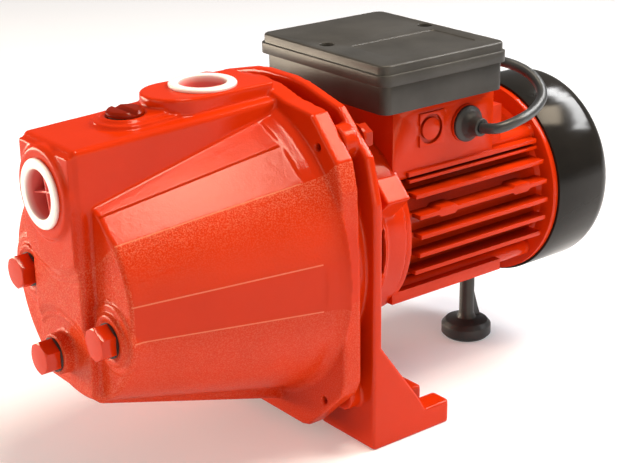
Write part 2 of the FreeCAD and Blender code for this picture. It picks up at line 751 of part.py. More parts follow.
def motor_frame():
    parts = [rod_x(frame_core_radius, motor_joint_x, frame_rear_x)]
    parts.append(rod_x(drum_radius - 0.6, motor_joint_x, motor_joint_x + 4.0))
    for step in range(-2, 4):
        level = fin_pitch * step
        half = fin_half_width(level)
        z = shaft_height + level
        fin = box(fin_front_x, frame_rear_x, -half, half, z - fin_thickness / 2, z + fin_thickness / 2)
        fin = fin.fuse(box(motor_joint_x, fin_front_x + 6, -half + 7, half - 7, z - 1.3, z + 1.3))
        parts.append(fin)
    under_shelf_z = shaft_height + fin_pitch * 3 - 5.0
    parts.append(box(fin_front_x, frame_rear_x, -49.0, 49.0, under_shelf_z, under_shelf_z + 1.8))
    parts.append(box(motor_joint_x, 106.0, -48.0, 48.0, 66.0, 73.0))
    parts.append(box(pad_front_x, pad_rear_x, -pad_half_width, pad_half_width, 142.0, box_floor_z - 1.5))
    parts.append(box(pad_rear_x - 1, pad_rear_x + 10, -pad_half_width + 3, pad_half_width - 3, 142.0, 172.0))
    parts.append(rod_z(9.0, 54.5, 66.0, rear_foot_x))
    parts.append(box(38.0, 57.0, -pad_half_width - 1.2, -pad_half_width + 2, 159.0, 179.0))
    parts.append(rod_y(11.5, -pad_half_width - 1.6, -pad_half_width + 2, grommet_x, grommet_z))
    mark_z = shaft_height + fin_pitch
    for x in (50.7, 112.0):
        tip = -fin_half_width(fin_pitch)
        mark = slab_y([
            (x - 9.0, mark_z), (x - 5.5, mark_z + 2.9), (x + 5.5, mark_z + 2.9),
            (x + 9.0, mark_z), (x + 5.5, mark_z - 2.9), (x - 5.5, mark_z - 2.9),
        ], tip, -tip)
        parts.append(mark)
    for y, z in tie_rod_places:
        parts.append(rod_x(5.5, motor_joint_x, frame_rear_x, y, z))
    shape = joined(parts)
    tools = [rod_x(frame_bore_radius, motor_joint_x - 1, frame_rear_x + 1)]
    pad_hollow = box(pad_front_x + 5, pad_rear_x - 5, -pad_half_width + 5, pad_half_width - 5, 160.0, 190.0)
    tools.append(carved(pad_hollow, [rod_z(6.0, 150.0, 191.0, x, y) for x, y in box_screw_places]))
    tools.append(rod_z(7.0, 145.0, 165.0, 30.0))
    tools.append(rod_y(6.0, -pad_half_width - 2, -pad_half_width + 6, grommet_x, grommet_z))
    knockout = rod_y(9.0, -pad_half_width - 2, -pad_half_width + 0.6, 46.5, 169.0)
    tools.append(knockout.cut(rod_y(6.6, -pad_half_width - 3, -pad_half_width + 1, 46.5, 169.0)))
    tools.append(rod_z(3.3, 54.0, 65.0, rear_foot_x))
    for y, z in tie_rod_places:
        tools.append(rod_x(tie_rod_radius + 0.1, motor_joint_x - 1, frame_rear_x + 1, y, z))
    tools += [rod_z(1.9, 168.0, 190.0, x, y) for x, y in box_screw_places]
    return carved(shape, tools)


def slot_bar(inner, outer, width, x0, x1):
    return box(x0, x1, inner, outer, shaft_height - width / 2, shaft_height + width / 2)


def stator_core():
    core = ring_x(frame_bore_radius, stator_bore_radius, stack_start_x, stack_end_x)
    slot = slot_bar(29.0, 39.0, 3.2, stack_start_x - 1, stack_end_x + 1)
    return carved(core, [turned_about_shaft(slot, 360 / slot_count * i) for i in range(slot_count)])


def end_turns(x0, x1):
    return turned([
        (x0, 31.0), (x0, 40.0), (x0 + 3, 43.0), (x1 - 3, 43.0), (x1, 40.0), (x1, 31.0),
        (x1 - 2, 29.5), (x0 + 2, 29.5),
    ])


def stator_windings():
    parts = [end_turns(24.0, stack_start_x - 0.2), end_turns(stack_end_x + 0.2, 125.0)]
    bar = slot_bar(29.8, 38.9, 3.0, stack_start_x - 3, stack_end_x + 3)
    for i in range(slot_count):
        parts.append(turned_about_shaft(bar, 360 / slot_count * i))
    return joined(parts)


def rear_end_shield():
    shield = turned([
        (130.0, 40.0), (130.0, 44.9), (frame_rear_x, 44.9), (frame_rear_x, 50.0),
        (shield_front_x, 52.0), (shield_front_x, shield_radius), (shield_rear_x - 1, shield_radius),
        (shield_rear_x - 1, 61.6), (shield_rear_x + 3, 61.6), (shield_rear_x + 3, 59.6),
        (shield_rear_x, 59.0), (shield_rear_x, 24.0), (145.0, 21.5), (145.0, 9.0), (143.0, 9.0),
        (143.0, bearing_outer_radius), (127.0, bearing_outer_radius), (127.0, 21.5), (135.0, 23.0),
        (137.5, 40.0),
    ])
    tools = []
    bosses = []
    for y, z in tie_rod_places:
        bosses.append(rod_x(5.5, frame_rear_x, shield_rear_x, y, z))
        tools.append(rod_x(tie_rod_radius + 0.1, frame_rear_x - 1, shield_rear_x + 1, y, z))
    return carved(joined([shield] + bosses), tools)


def tie_rods():
    """Four rods that clamp the frame between the bracket and the rear shield, with their nuts."""
    solids = []
    for y, z in tie_rod_places:
        solids.append(rod_x(tie_rod_radius, 4.0, shield_rear_x + 7, y, z))
        nut = placed_along(hexagon(8.0, 4.0), V(shield_rear_x, y, z), V(1, 0, 0))
        solids.append(nut.cut(rod_x(tie_rod_radius, shield_rear_x - 1, shield_rear_x + 8, y, z)))
    return Part.makeCompound(solids)


def cooling_fan():
    parts = [ring_x(12.0, 7.0, 152.0, 165.0), ring_x(30.0, 7.0, 152.0, 154.0)]
    blade = box(152.0, 168.0, 11.0, 50.0, shaft_height - 1.0, shaft_height + 1.0)
    for i in range(8):
        parts.append(turned_about_shaft(blade, 45 * i))
    return joined(parts)


def fan_clip():
    return ring_x(10.5, 7.0, 165.1, 166.3)


def cover_profile(radius, front, rear, corner):
    """(x, r) half outline with a round corner between side and rear face."""
    bend = [V(rear - corner, 0, shaft_height + radius)]
    middle = math.sqrt(0.5)
    bend_middle = V(rear - corner * (1 - middle), 0, shaft_height + radius - corner * (1 - middle))
    bend_end = V(rear, 0, shaft_height + radius - corner)
    return [V(front, 0, shaft_height), V(front, 0, shaft_height + radius)] + bend + [
        (bend_middle, bend_end), V(rear, 0, shaft_height)]


def fan_cover():
    front = shield_rear_x - 0.8
    outer = turned_outline(cover_profile(cover_radius, front, cover_rear_x, 13.0))
    inner = turned_outline(cover_profile(cover_radius - cover_wall, front - 1, cover_rear_x - 2.5, 11.0))
    shell = outer.cut(inner)
    slots = []
    for step in range(-6, 7):
        level = 6.6 * step
        half = math.sqrt(47.0 ** 2 - level ** 2)
        for y0, y1 in ((-half, -4.0), (4.0, half)):
            slots.append(box(cover_rear_x - 4, cover_rear_x + 1, y0, y1,
                             shaft_height + level - 1.6, shaft_height + level + 1.6))
    return carved(shell, slots)


# ---------------------------------------------------------------- terminal box
def upright_box(x0, x1, half, z0, z1, corner):
    shape = box(x0, x1, -half, half, z0, z1)
    return rounded(shape, corner, lambda e: runs_along(e, V(0, 0, 1)))


lid_screw_places = [(12.0, 6.0), (89.0, 6.0)]


def terminal_box_base():
    front, rear = box_front_x + 1.5, box_rear_x - 3
    wall = box_wall
    outer = upright_box(front, rear, box_half_width, box_floor_z, box_split_z, 6.0)
    inner = upright_box(
        front + wall, rear - wall, box_half_width - wall, box_floor_z + wall, box_split_z + 1, 4.0)
    opening = box(pad_front_x + 8, pad_rear_x - 16, -32.0, 32.0, box_floor_z - 1, box_floor_z + 4)
    posts = [rod_z(5.0, box_floor_z + 1, box_split_z + 4, x, y) for x, y in lid_screw_places]
    ribs = [
        box(box_front_x + 4, 12.0, 2.0, 10.0, box_floor_z + 1, box_split_z),
        box(89.0, box_rear_x - 5, 2.0, 10.0, box_floor_z + 1, box_split_z),
    ]
    shape = joined([outer.cut(inner).cut(opening)] + posts + ribs)
    tools = [rod_z(1.9, box_split_z - 14, box_split_z + 6, x, y) for x, y in lid_screw_places]
    tools += [rod_z(2.1, box_floor_z - 1, box_floor_z + 4, x, y) for x, y in box_screw_places]
    return carved(shape, tools)


def terminal_box_lid():
    skirt = upright_box(lid_front_x, lid_rear_x + 2, lid_half_width, box_split_z + 0.1, 209.5, 7.0)
    top = upright_box(lid_front_x + 1.4, lid_rear_x + 0.6, lid_half_width - 1.4, 208.0, box_top_z, 6.0)
    top = rounded(top, 1.4, lambda e: e.CenterOfMass.z > box_top_z - 0.01)
    ceiling = box_top_z - 2.6
    inner = upright_box(lid_front_x + 4, lid_rear_x - 2, lid_half_width - 4, box_split_z - 1, ceiling, 4.0)
    shape = skirt.fuse(top).cut(inner)
    posts = [rod_z(6.5, box_split_z + 4, box_top_z - 1, x, y) for x, y in lid_screw_places]
    shape = joined([shape] + posts)
    tools = [rod_z(4.6, box_top_z - 4.5, box_top_z + 1, x, y) for x, y in lid_screw_places]
    tools += [rod_z(2.2, box_split_z, box_top_z, x, y) for x, y in lid_screw_places]
    label = box(19.0, 85.0, -44.0, -6.0, box_top_z - 0.5, box_top_z + 1)
    tools.append(rounded(label, 3.0, lambda e: runs_along(e, V(0, 0, 1))))
    return carved(shape, tools)


def lid_screws():
    screws = []
    for x, y in lid_screw_places:
        head_z = box_top_z - 4.5
        head = rod_z(3.8, head_z, head_z + 2.6, x, y)
        shank = rod_z(1.85, box_split_z - 10, head_z, x, y)
        cross = [box(x - 2.2, x + 2.2, y - 0.45, y + 0.45, head_z + 1.4, head_z + 4)]
        cross.append(box(x - 0.45, x + 0.45, y - 2.2, y + 2.2, head_z + 1.4, head_z + 4))
        screws.append(carved(joined([head, shank]), cross))
    return Part.makeCompound(screws)


def box_screws():
    """Four screws that hold the terminal box to the motor frame."""
    screws = []
    for x, y in box_screw_places:
        head = rod_z(3.6, box_floor_z + 3, box_floor_z + 5.5, x, y)
        shank = rod_z(1.85, 170.0, box_floor_z + 3, x, y)
        screws.append(joined([head, shank]))
    return Part.makeCompound(screws)


def terminal_box_gasket():
    outer = upright_box(pad_front_x, pad_rear_x, pad_half_width, box_floor_z - 1.5, box_floor_z, 2.0)
    opening = box(pad_front_x + 8, pad_rear_x - 8, -36.0, 36.0, box_floor_z - 2, box_floor_z + 1)
    opening = carved(opening, [rod_z(6.0, 183.0, 188.0, x, y) for x, y in box_screw_places])
    holes = [rod_z(2.1, 183.0, 188.0, x, y) for x, y in box_screw_places]
    return carved(outer, [opening] + holes)


def terminal_block():
    block = box(34.0, 66.0, -30.0, -14.0, 160.0, 176.0)
    tools = []
    for i in range(3):
        x = 39.5 + 10.5 * i
        tools.append(rod_z(2.6, 170.0, 180.0, x, -22.0))
        tools.append(rod_y(2.2, -31.0, -13.0, x, 166.0))
    return carved(block, tools)


def run_capacitor():
    can = rod_x(15.5, 28.0, 76.0, 14.0, 175.5)
    can = rounded(can, 1.5, lambda e: abs(e.Length - 2 * math.pi * 15.5) < 0.1)
    tabs = [box(75.0, 81.0, 9.0 + d, 9.8 + d, 172.5, 178.5) for d in (0.0, 9.0)]
    return joined([can] + tabs)


# ---------------------------------------------------------------- plugs and port caps
def plug_washer():
    return rod_z(9.6, 0.0, 1.0, 0.0).cut(rod_z(plug_thread_radius + 0.1, -1.0, 2.0, 0.0))


def hexagon_plug():
    """Screw plug with a chamfered hexagon head, made about +Z from its seat."""
    head = hexagon(17.0, 8.5)
    chamfer = turned_z([(0.0, -1.0), (9.9, -1.0), (9.9, 7.6), (8.4, 8.5), (0.0, 8.5)], 0.0)
    head = head.common(chamfer)
    head.translate(V(0, 0, 1.0))
    return head.fuse(rod_z(plug_thread_radius, 1.0 - plug_thread_length, 1.5, 0.0))


def slotted_plug():
    """Low round-headed screw plug with one wide V slot, made about +Z from its seat."""
    head = turned_z([(0.0, 1.0), (10.4, 1.0), (10.4, 2.6), (9.2, 3.9), (0.0, 3.9)], 0.0)
    thread = rod_z(plug_thread_radius, 1.0 - plug_thread_length, 1.5, 0.0)
    groove = slab_y([(-2.8, 4.0), (2.8, 4.0), (0.8, 2.0), (-0.8, 2.0)], -11.0, 11.0)
    return head.fuse(thread).cut(groove)


def port_cap():
    """Push-in cap with a cross in its cup, made about +Z from the port's face."""
    cup = turned_z([
        (0.0, -16.0), (14.2, -16.0), (15.05, -15.0), (15.05, 0.0), (19.0, 0.0), (19.0, 1.4),
        (18.4, 2.1), (13.8, 2.1), (13.4, 1.6), (13.4, -14.5), (0.0, -14.5),
    ], 0.0)
    cross = [box(-13.6, 13.6, -0.6, 0.6, -15.0, -9.5), box(-0.6, 0.6, -13.6, 13.6, -15.0, -9.5)]
    return joined([cup] + cross)


# ---------------------------------------------------------------- cord, gland and feet
def cable_grommet():
    """Rubber gland: a disc inside the wall, a waist in it, a collar and a tapered sleeve outside."""
    gland = turned_z([
        (3.3, -9.2), (7.5, -9.2), (7.5, -6.8), (5.9, -6.8), (5.9, 0.0), (11.0, 0.0), (11.0, 1.6),
        (8.2, 3.4), (6.2, 7.0), (5.3, 12.6), (3.3, 12.6),
    ], 0.0)
    return placed_along(gland, V(grommet_x, -pad_half_width - 1.6, grommet_z), V(0, -1, 0))


def arc_cornered_path(points):
    """Straight runs joined by tangent arcs, each as large as its two runs allow."""
    points = [V(*p) for p in points]
    edges = []
    here = points[0]
    for before, corner, after in zip(points, points[1:], points[2:]):
        into = (corner - before).normalize()
        out = (after - corner).normalize()
        half_turn = into.getAngle(out) / 2
        reach = 0.45 * min((corner - before).Length, (after - corner).Length)
        radius = reach / math.tan(half_turn)
        start = corner - into * reach
        end = corner + out * reach
        inward = (out - into).normalize()
        middle = corner + inward * (radius / math.cos(half_turn) - radius)
        edges.append(Part.LineSegment(here, start).toShape())
        edges.append(Part.Arc(start, middle, end).toShape())
        here = end
        print("cord corner radius %.1f" % radius)
    edges.append(Part.LineSegment(here, points[-1]).toShape())
    return Part.Wire(edges)


def tube(points, diameter):
    path = arc_cornered_path(points)
    start = V(*points[0])
    way = V(*points[1]) - start
    section = Part.Wire(Part.makeCircle(diameter / 2, start, way))
    solid = path.makePipeShell([section], True, False)
    print("cord volume ratio %.4f" % (solid.Volume / (path.Length * math.pi * diameter ** 2 / 4)))
    return solid


def cord_coil():
    """Outer shape of the coiled cord, two layers of turns high."""
    x, y = coil_centre
    return ring_z(coil_outer_radius, coil_inner_radius, 0.0, 2 * cord_diameter, x, y)


def mains_plug():
    """Round two-pin plug with a ribbed grip and a tapered sleeve, lying on the floor along +X."""
    x, y = mains_plug_place
    body = Part.Face(wire([V(x + px, y, mains_plug_radius + r) for px, r in [
        (0.0, 3.3), (0.0, 4.6), (20.0, 6.5), (22.0, 13.0), (44.0, 15.0), (47.0, mains_plug_radius),
        (58.0, mains_plug_radius), (58.0, 0.0), (12.0, 0.0), (12.0, 3.3),
    ]])).revolve(V(x, y, mains_plug_radius), V(1, 0, 0), 360)
    pin_holes = [rod_x(2.4, x + 40.0, x + 60.0, y + side * 9.5, mains_plug_radius) for side in (-1, 1)]
    clip_slots = [box(x + 46, x + 59, y - 3.0, y + 3.0, top, top + 3.0)
                  for top in (-0.5, 2 * mains_plug_radius - 2.5)]
    return carved(body, pin_holes + clip_slots)


def mains_plug_pins():
    x, y = mains_plug_place
    pins = []
    for side in (-1, 1):
        pin = rod_x(2.4, x + 40.0, x + 77.0, y + side * 9.5, mains_plug_radius)
        pins.append(rounded(pin, 1.5, lambda e: e.CenterOfMass.x > x + 76.9))
    return Part.makeCompound(pins)


def rear_foot():
    """Rubber disc with a slim stem and one small web, which props up the motor's rear end."""
    stem = turned_z([
        (6.0, 0.0), (14.5, 0.0), (rear_foot_radius, 2.0), (rear_foot_radius, 8.0), (14.0, 11.0),
        (6.5, 12.5), (4.9, 16.0), (4.9, 54.5), (3.3, 54.5), (3.3, 6.0), (6.0, 6.0),
    ], rear_foot_x)
    web = slab_y([
        (rear_foot_x + 4.4, 11.0), (rear_foot_x + 11.5, 11.0), (rear_foot_x + 9.0, 18.0),
        (rear_foot_x + 4.4, 33.0),
    ], -1.6, 1.6)
    return joined([stem, web])


def rear_foot_screw():
    return joined([rod_z(5.6, 2.0, 6.0, rear_foot_x), rod_z(3.2, 5.0, 64.0, rear_foot_x)])


# ---------------------------------------------------------------- the nodes
def nodes():
    made = {
        "pump_casing": pump_casing(),
        "ejector_nozzle": ejector_nozzle(),
        "venturi_tube": venturi_tube(),
        "diffuser": diffuser(),
        "casing_o_ring": casing_o_ring(),
        "casing_bolts": casing_bolts(),
        "motor_bracket": motor_bracket(),
        "near_foot": foot(-1),
        "far_foot": foot(1),
        "seal_seat": seal_seat(),
        "seal_carbon_ring": seal_carbon_ring(),
        "seal_bellows": seal_bellows(),
        "water_slinger": water_slinger(),
        "impeller": impeller(),
        "impeller_key": impeller_key(),
        "impeller_nut": impeller_nut(),
        "motor_shaft": motor_shaft(),
        "rotor_core": rotor_core(),
        "rotor_cage": rotor_cage(),
        "front_bearing_outer_ring": bearing_outer_ring(front_bearing_x),
        "front_bearing_inner_ring": bearing_inner_ring(front_bearing_x),
        "rear_bearing_outer_ring": bearing_outer_ring(rear_bearing_x),
        "rear_bearing_inner_ring": bearing_inner_ring(rear_bearing_x),
        "bearing_balls": bearing_balls(),
        "bearing_cages": bearing_cages(),
        "bearing_wave_washer": bearing_wave_washer(),
        "motor_frame": motor_frame(),
        "stator_core": stator_core(),
        "stator_windings": stator_windings(),
        "rear_end_shield": rear_end_shield(),
        "tie_rods": tie_rods(),
        "cooling_fan": cooling_fan(),
        "fan_clip": fan_clip(),
        "fan_cover": fan_cover(),
        "terminal_box_gasket": terminal_box_gasket(),
        "terminal_box_base": terminal_box_base(),
        "box_screws": box_screws(),
        "terminal_box_lid": terminal_box_lid(),
        "lid_screws": lid_screws(),
        "terminal_block": terminal_block(),
        "run_capacitor": run_capacitor(),
        "cable_grommet": cable_grommet(),
        "power_cord": tube(cord_route, cord_diameter),
        "cord_coil": cord_coil(),
        "cord_tail": tube(cord_tail_route, cord_diameter),
        "mains_plug": mains_plug(),
        "mains_plug_pins": mains_plug_pins(),
        "rear_foot": rear_foot(),
        "rear_foot_screw": rear_foot_screw(),
        "suction_port_cap": placed_along(port_cap(), V(suction_face_x, 0, suction_z), V(-1, 0, 0)),
        "discharge_port_cap": placed_along(port_cap(), V(discharge_x, 0, discharge_face_z), V(0, 0, 1)),
    }
    for name, (mouth, way, _) in plug_seats.items():
        plug = slotted_plug() if name == "priming" else hexagon_plug()
        made[name + "_plug"] = placed_along(plug, mouth, way)
        made[name + "_plug_washer"] = placed_along(plug_washer(), mouth, way)
    return made


os.makedirs("parts", exist_ok=True)
for node, shape in nodes().items():
    shape.exportStep("parts/" + node + ".step")
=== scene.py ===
import math

import bpy
from mathutils import Matrix, Vector


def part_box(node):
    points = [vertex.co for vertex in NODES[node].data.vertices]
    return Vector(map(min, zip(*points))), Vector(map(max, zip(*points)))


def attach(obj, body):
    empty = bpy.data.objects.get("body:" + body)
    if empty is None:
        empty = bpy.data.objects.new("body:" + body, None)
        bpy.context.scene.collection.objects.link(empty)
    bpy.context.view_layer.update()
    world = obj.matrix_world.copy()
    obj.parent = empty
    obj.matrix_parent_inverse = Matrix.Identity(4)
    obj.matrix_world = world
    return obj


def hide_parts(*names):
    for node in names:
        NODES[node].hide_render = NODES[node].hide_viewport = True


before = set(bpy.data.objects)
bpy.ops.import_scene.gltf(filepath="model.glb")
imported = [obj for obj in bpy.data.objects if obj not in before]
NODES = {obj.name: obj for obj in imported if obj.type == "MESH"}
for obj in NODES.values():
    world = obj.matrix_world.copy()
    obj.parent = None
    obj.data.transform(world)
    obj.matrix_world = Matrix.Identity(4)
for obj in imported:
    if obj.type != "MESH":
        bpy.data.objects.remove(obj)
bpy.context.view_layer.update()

bl_info = {
    "name": "Jet pump dresser",
    "version": (1, 0, 0),
    "blender": (4, 5, 0),
    "location": "View3D > Sidebar > Jet pump",
    "description": "Builds the finishes, shells, plugs, feet and mains lead of a self-priming jet pump",
    "category": "Object",
}

MM = 0.001


# ---------------------------------------------------------------- places read from the parts of model.glb
def middle(node):
    low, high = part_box(node)
    return (low + high) / 2


SHAFT_HEIGHT = middle("motor_shaft").z
CASING_LOW, CASING_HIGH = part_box("pump_casing")
SPINE_HALF_WIDTH = 0.0272                    # half of the flat-sided spine above the cone
NOSE_FACE_X = CASING_LOW.x + 0.0095          # just behind the spine's front face
NOSE_WALL_X = CASING_LOW.x + 0.0155          # just behind the cone's front wall

# the cone's facets meet at these polar angles, in degrees up from level
GROOVE_ANGLE = 57.0
SAND_HIGH_ANGLE = 40.0
SAND_LOW_ANGLE = 9.4
UNDERSIDE_ANGLE = -9.0

# cast-in lines along the cone: a fine groove above, coloured darker as painted shade, and raised seams
# below it, coloured paler as a painted highlight
LINE_FRONT_X = CASING_LOW.x + 0.0145
LINE_REAR_X = CASING_HIGH.x - 0.0255
GROOVE_HALF_WIDTH = 0.0008
SEAM_ANGLES = (SAND_LOW_ANGLE, UNDERSIDE_ANGLE, SAND_HIGH_ANGLE)
SEAM_HALF_WIDTH = 0.0004


# ---------------------------------------------------------------- hand tools
WELD = 0.00001                               # loose triangle corners closer than this are one
FLAT = 0.5                                   # degrees, below which neighbouring triangles are one face
CAST_CREASE = 60
MOULDED_CREASE = 40


def nothing_selected():
    bpy.ops.object.select_all(action="DESELECT")


def only(piece):
    """Makes piece the one selected, active object."""
    nothing_selected()
    piece.select_set(True)
    bpy.context.view_layer.objects.active = piece
    return piece


def settled(piece):
    """Puts the piece's place into its mesh, so that its object sits unturned at the origin."""
    only(piece)
    bpy.ops.object.transform_apply(location=True, rotation=True, scale=True)
    return piece


def smooth(piece, degrees=35):
    """Shades the piece smooth, but for edges sharper than this angle."""
    only(piece)
    bpy.ops.object.shade_smooth_by_angle(angle=math.radians(degrees))
    return piece


def modified(piece, kind, **settings):
    """Adds a modifier and applies it."""
    only(piece)
    made = piece.modifiers.new(kind.lower(), kind)
    for key, value in settings.items():
        setattr(made, key, value)
    bpy.ops.object.modifier_apply(modifier=made.name)
    return piece


def edit_all(piece):
    """Goes into edit mode with all of the piece selected."""
    only(piece)
    bpy.ops.object.mode_set(mode="EDIT")
    bpy.ops.mesh.select_all(action="SELECT")


def out_of_edit():
    bpy.ops.object.mode_set(mode="OBJECT")


def merged_copy(node, name):
    """Copy of a CAD node as a new piece, its loose triangles merged."""
    nothing_selected()
    source = NODES[node]
    piece = bpy.data.objects.new(name, source.data.copy())
    bpy.context.scene.collection.objects.link(piece)
    piece.data.materials.clear()
    edit_all(piece)
    bpy.ops.mesh.remove_doubles(threshold=WELD)
    out_of_edit()
    return piece


def joined(pieces):
    """Joins the pieces into the first one."""
    nothing_selected()
    for piece in pieces:
        piece.select_set(True)
    bpy.context.view_layer.objects.active = pieces[0]
    if len(pieces) > 1:
        bpy.ops.object.join()
    return pieces[0]


def joined_copy(nodes, name):
    """Merged copies of several CAD nodes as one piece."""
    return joined([merged_copy(node, name) for node in nodes])


def as_cast(nodes, name, voxel, passes, keep):
    """Copy of CAD nodes with the soft corners and fillets that a sand mould leaves."""
    exact = joined_copy(nodes, name + "_exact")
    piece = joined_copy(nodes, name)
    modified(piece, "REMESH", mode="VOXEL", voxel_size=voxel)
    modified(piece, "SHRINKWRAP", target=exact, wrap_method="NEAREST_SURFACEPOINT")
    modified(piece, "SMOOTH", factor=0.5, iterations=passes)
    modified(piece, "DECIMATE", decimate_type="COLLAPSE", ratio=keep)
    only(exact)
    bpy.ops.object.delete()
    return smooth(piece, CAST_CREASE)


def softened(node, name, width, segments=2, crease=28):
    """Copy of a CAD node whose sharp edges are broken by a small round."""
    piece = merged_copy(node, name)
    edit_all(piece)
    bpy.ops.mesh.dissolve_limited(angle_limit=math.radians(FLAT))
    out_of_edit()
    modified(piece, "BEVEL", width=width, segments=segments, limit_method="ANGLE",
             angle_limit=math.radians(crease), harden_normals=False, use_clamp_overlap=True)
    modified(piece, "TRIANGULATE")
    return smooth(piece, MOULDED_CREASE)


def dressed(piece, material, body, slot, *nodes):
    """Gives a piece its material and body, and lets it stand for its CAD nodes; slot is not used."""
    piece.data.materials.clear()
    piece.data.materials.append(material)
    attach(piece, body)
    if nodes:
        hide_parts(*nodes)
    return piece


def painted(node, material):
    """Gives a CAD node that stays its material."""
    mesh = NODES[node].data
    mesh.materials.clear()
    mesh.materials.append(material)


# ---------------------------------------------------------------- materials
BLACK = (0.0, 0.0, 0.0)
WHITE = (1.0, 1.0, 1.0)
PAINTED_HIGHLIGHT_COLOUR = (0.90, 0.40, 0.22)            # painted highlight: the colour where a grain would catch the light
GLINT_SHARE = 0.3
NOSE_GLINT_TOP = 0.045                       # above the shaft, where the nose's glints have faded out
NOSE_GLINT_FADE = 0.04
NOSE_GLINTS = 0.7
UNDERSIDE_GLINTS = 0.35
UNDERSIDE_SAND = 0.6
LEAST_SAND = 0.2
NOSE_SAND_ANGLE = 65.0
# how far the seams' painted highlight goes toward the highlight colour
SEAM_HIGHLIGHT_SHARE = 0.35
SAND_SCALE = 950.0
LUMP_SCALE = 240.0
GLINT_SCALE = 1300.0
SAND_HEIGHT = 0.0003
GROOVE_DEPTH = 0.0003
SEAM_HEIGHT = 0.0002
# widest gap that gets painted shade
SHADE_GAP_DEPTH = 0.013
FINISH = {}


def material(name):
    """New node material: its tree, its Principled shader and a texture coordinate node."""
    made = bpy.data.materials.new(name)
    made.use_nodes = True
    tree = made.node_tree
    shader = tree.nodes["Principled BSDF"]
    place = tree.nodes.new("ShaderNodeTexCoord")
    return made, tree, shader, place


def noise(tree, place, scale, detail=3.0, roughness=0.5):
    """Noise texture that sits still on the piece."""
    node = tree.nodes.new("ShaderNodeTexNoise")
    node.inputs["Scale"].default_value = scale
    node.inputs["Detail"].default_value = detail
    node.inputs["Roughness"].default_value = roughness
    tree.links.new(place.outputs["Object"], node.inputs["Vector"])
    return node


def ramp(tree, source, stops):
    """Colour ramp on a source socket, from (position, colour or level) stops."""
    node = tree.nodes.new("ShaderNodeValToRGB")
    elements = node.color_ramp.elements
    while len(elements) < len(stops):
        elements.new(0.5)
    for element, (position, tone) in zip(elements, stops):
        element.position = position
        element.color = (*tone, 1.0) if isinstance(tone, tuple) else (tone, tone, tone, 1.0)
    tree.links.new(source, node.inputs["Fac"])
    return node


def bumped(tree, shader, layers, sockets=("Normal",)):
    """Chains bump nodes into the normals, from (height socket, strength or its socket, distance)."""
    before = None
    for height, strength, distance in layers:
        node = tree.nodes.new("ShaderNodeBump")
        if isinstance(strength, bpy.types.NodeSocket):
            tree.links.new(strength, node.inputs["Strength"])
        else:
            node.inputs["Strength"].default_value = strength
        node.inputs["Distance"].default_value = distance
        tree.links.new(height, node.inputs["Height"])
        if before:
            tree.links.new(before.outputs["Normal"], node.inputs["Normal"])
        before = node
    for socket in sockets:
        tree.links.new(before.outputs["Normal"], shader.inputs[socket])


def calculated(tree, operation, *values):
    """Math node on sockets or numbers."""
    node = tree.nodes.new("ShaderNodeMath")
    node.operation = operation
    for socket, value in zip(node.inputs, values):
        if isinstance(value, bpy.types.NodeSocket):
            tree.links.new(value, socket)
        else:
            socket.default_value = value
    return node.outputs["Value"]


def about_shaft(tree, place):
    """Sockets of x, the height above the shaft, the distance sideways and the angle up from level."""
    apart = tree.nodes.new("ShaderNodeSeparateXYZ")
    tree.links.new(place.outputs["Object"], apart.inputs["Vector"])
    rise = calculated(tree, "SUBTRACT", apart.outputs["Z"], SHAFT_HEIGHT)
    out = calculated(tree, "ABSOLUTE", apart.outputs["Y"])
    return apart.outputs["X"], rise, out, calculated(tree, "ARCTAN2", rise, out)


def between(tree, value, low, high):
    """1 where value lies from low to high, and 0 elsewhere."""
    return calculated(tree, "MULTIPLY", calculated(tree, "GREATER_THAN", value, low),
                      calculated(tree, "LESS_THAN", value, high))


def line_mask(tree, place, degrees, half_width):
    """1 on a thin line that runs along the cone at this polar angle, on both sides."""
    x, rise, out, angle = about_shaft(tree, place)
    radius = calculated(tree, "SQRT", calculated(
        tree, "ADD", calculated(tree, "MULTIPLY", rise, rise), calculated(tree, "MULTIPLY", out, out)))
    away = calculated(tree, "ABSOLUTE", calculated(tree, "SUBTRACT", angle, math.radians(degrees)))
    near = calculated(tree, "LESS_THAN", calculated(tree, "MULTIPLY", away, radius), half_width)
    clear = calculated(tree, "GREATER_THAN", out, SPINE_HALF_WIDTH)
    return calculated(tree, "MULTIPLY", calculated(tree, "MULTIPLY", near, clear),
                      between(tree, x, LINE_FRONT_X, LINE_REAR_X))


def below(tree, value, limit, level):
    """This level where value lies below the limit, and 0 elsewhere."""
    return calculated(tree, "MULTIPLY", calculated(tree, "LESS_THAN", value, limit), level)


def greatest(tree, first, *others):
    for other in others:
        first = calculated(tree, "MAXIMUM", first, other)
    return first


def sand_strength(tree, place):
    """How strongly the mould's sand shows: most on the cone's flanks and the nose, little on top."""
    x, _, out, angle = about_shaft(tree, place)
    flank = between(tree, angle, math.radians(SAND_LOW_ANGLE), math.radians(SAND_HIGH_ANGLE))
    flank = calculated(tree, "MULTIPLY", flank, calculated(tree, "GREATER_THAN", out, SPINE_HALF_WIDTH))
    underside = below(tree, angle, math.radians(UNDERSIDE_ANGLE), UNDERSIDE_SAND)
    nose = calculated(tree, "MULTIPLY", below(tree, x, NOSE_FACE_X, 1.0),
                      below(tree, angle, math.radians(NOSE_SAND_ANGLE), 1.0))
    most = greatest(tree, flank, underside, nose)
    return calculated(tree, "ADD", calculated(tree, "MULTIPLY", most, 1.0 - LEAST_SAND), LEAST_SAND)


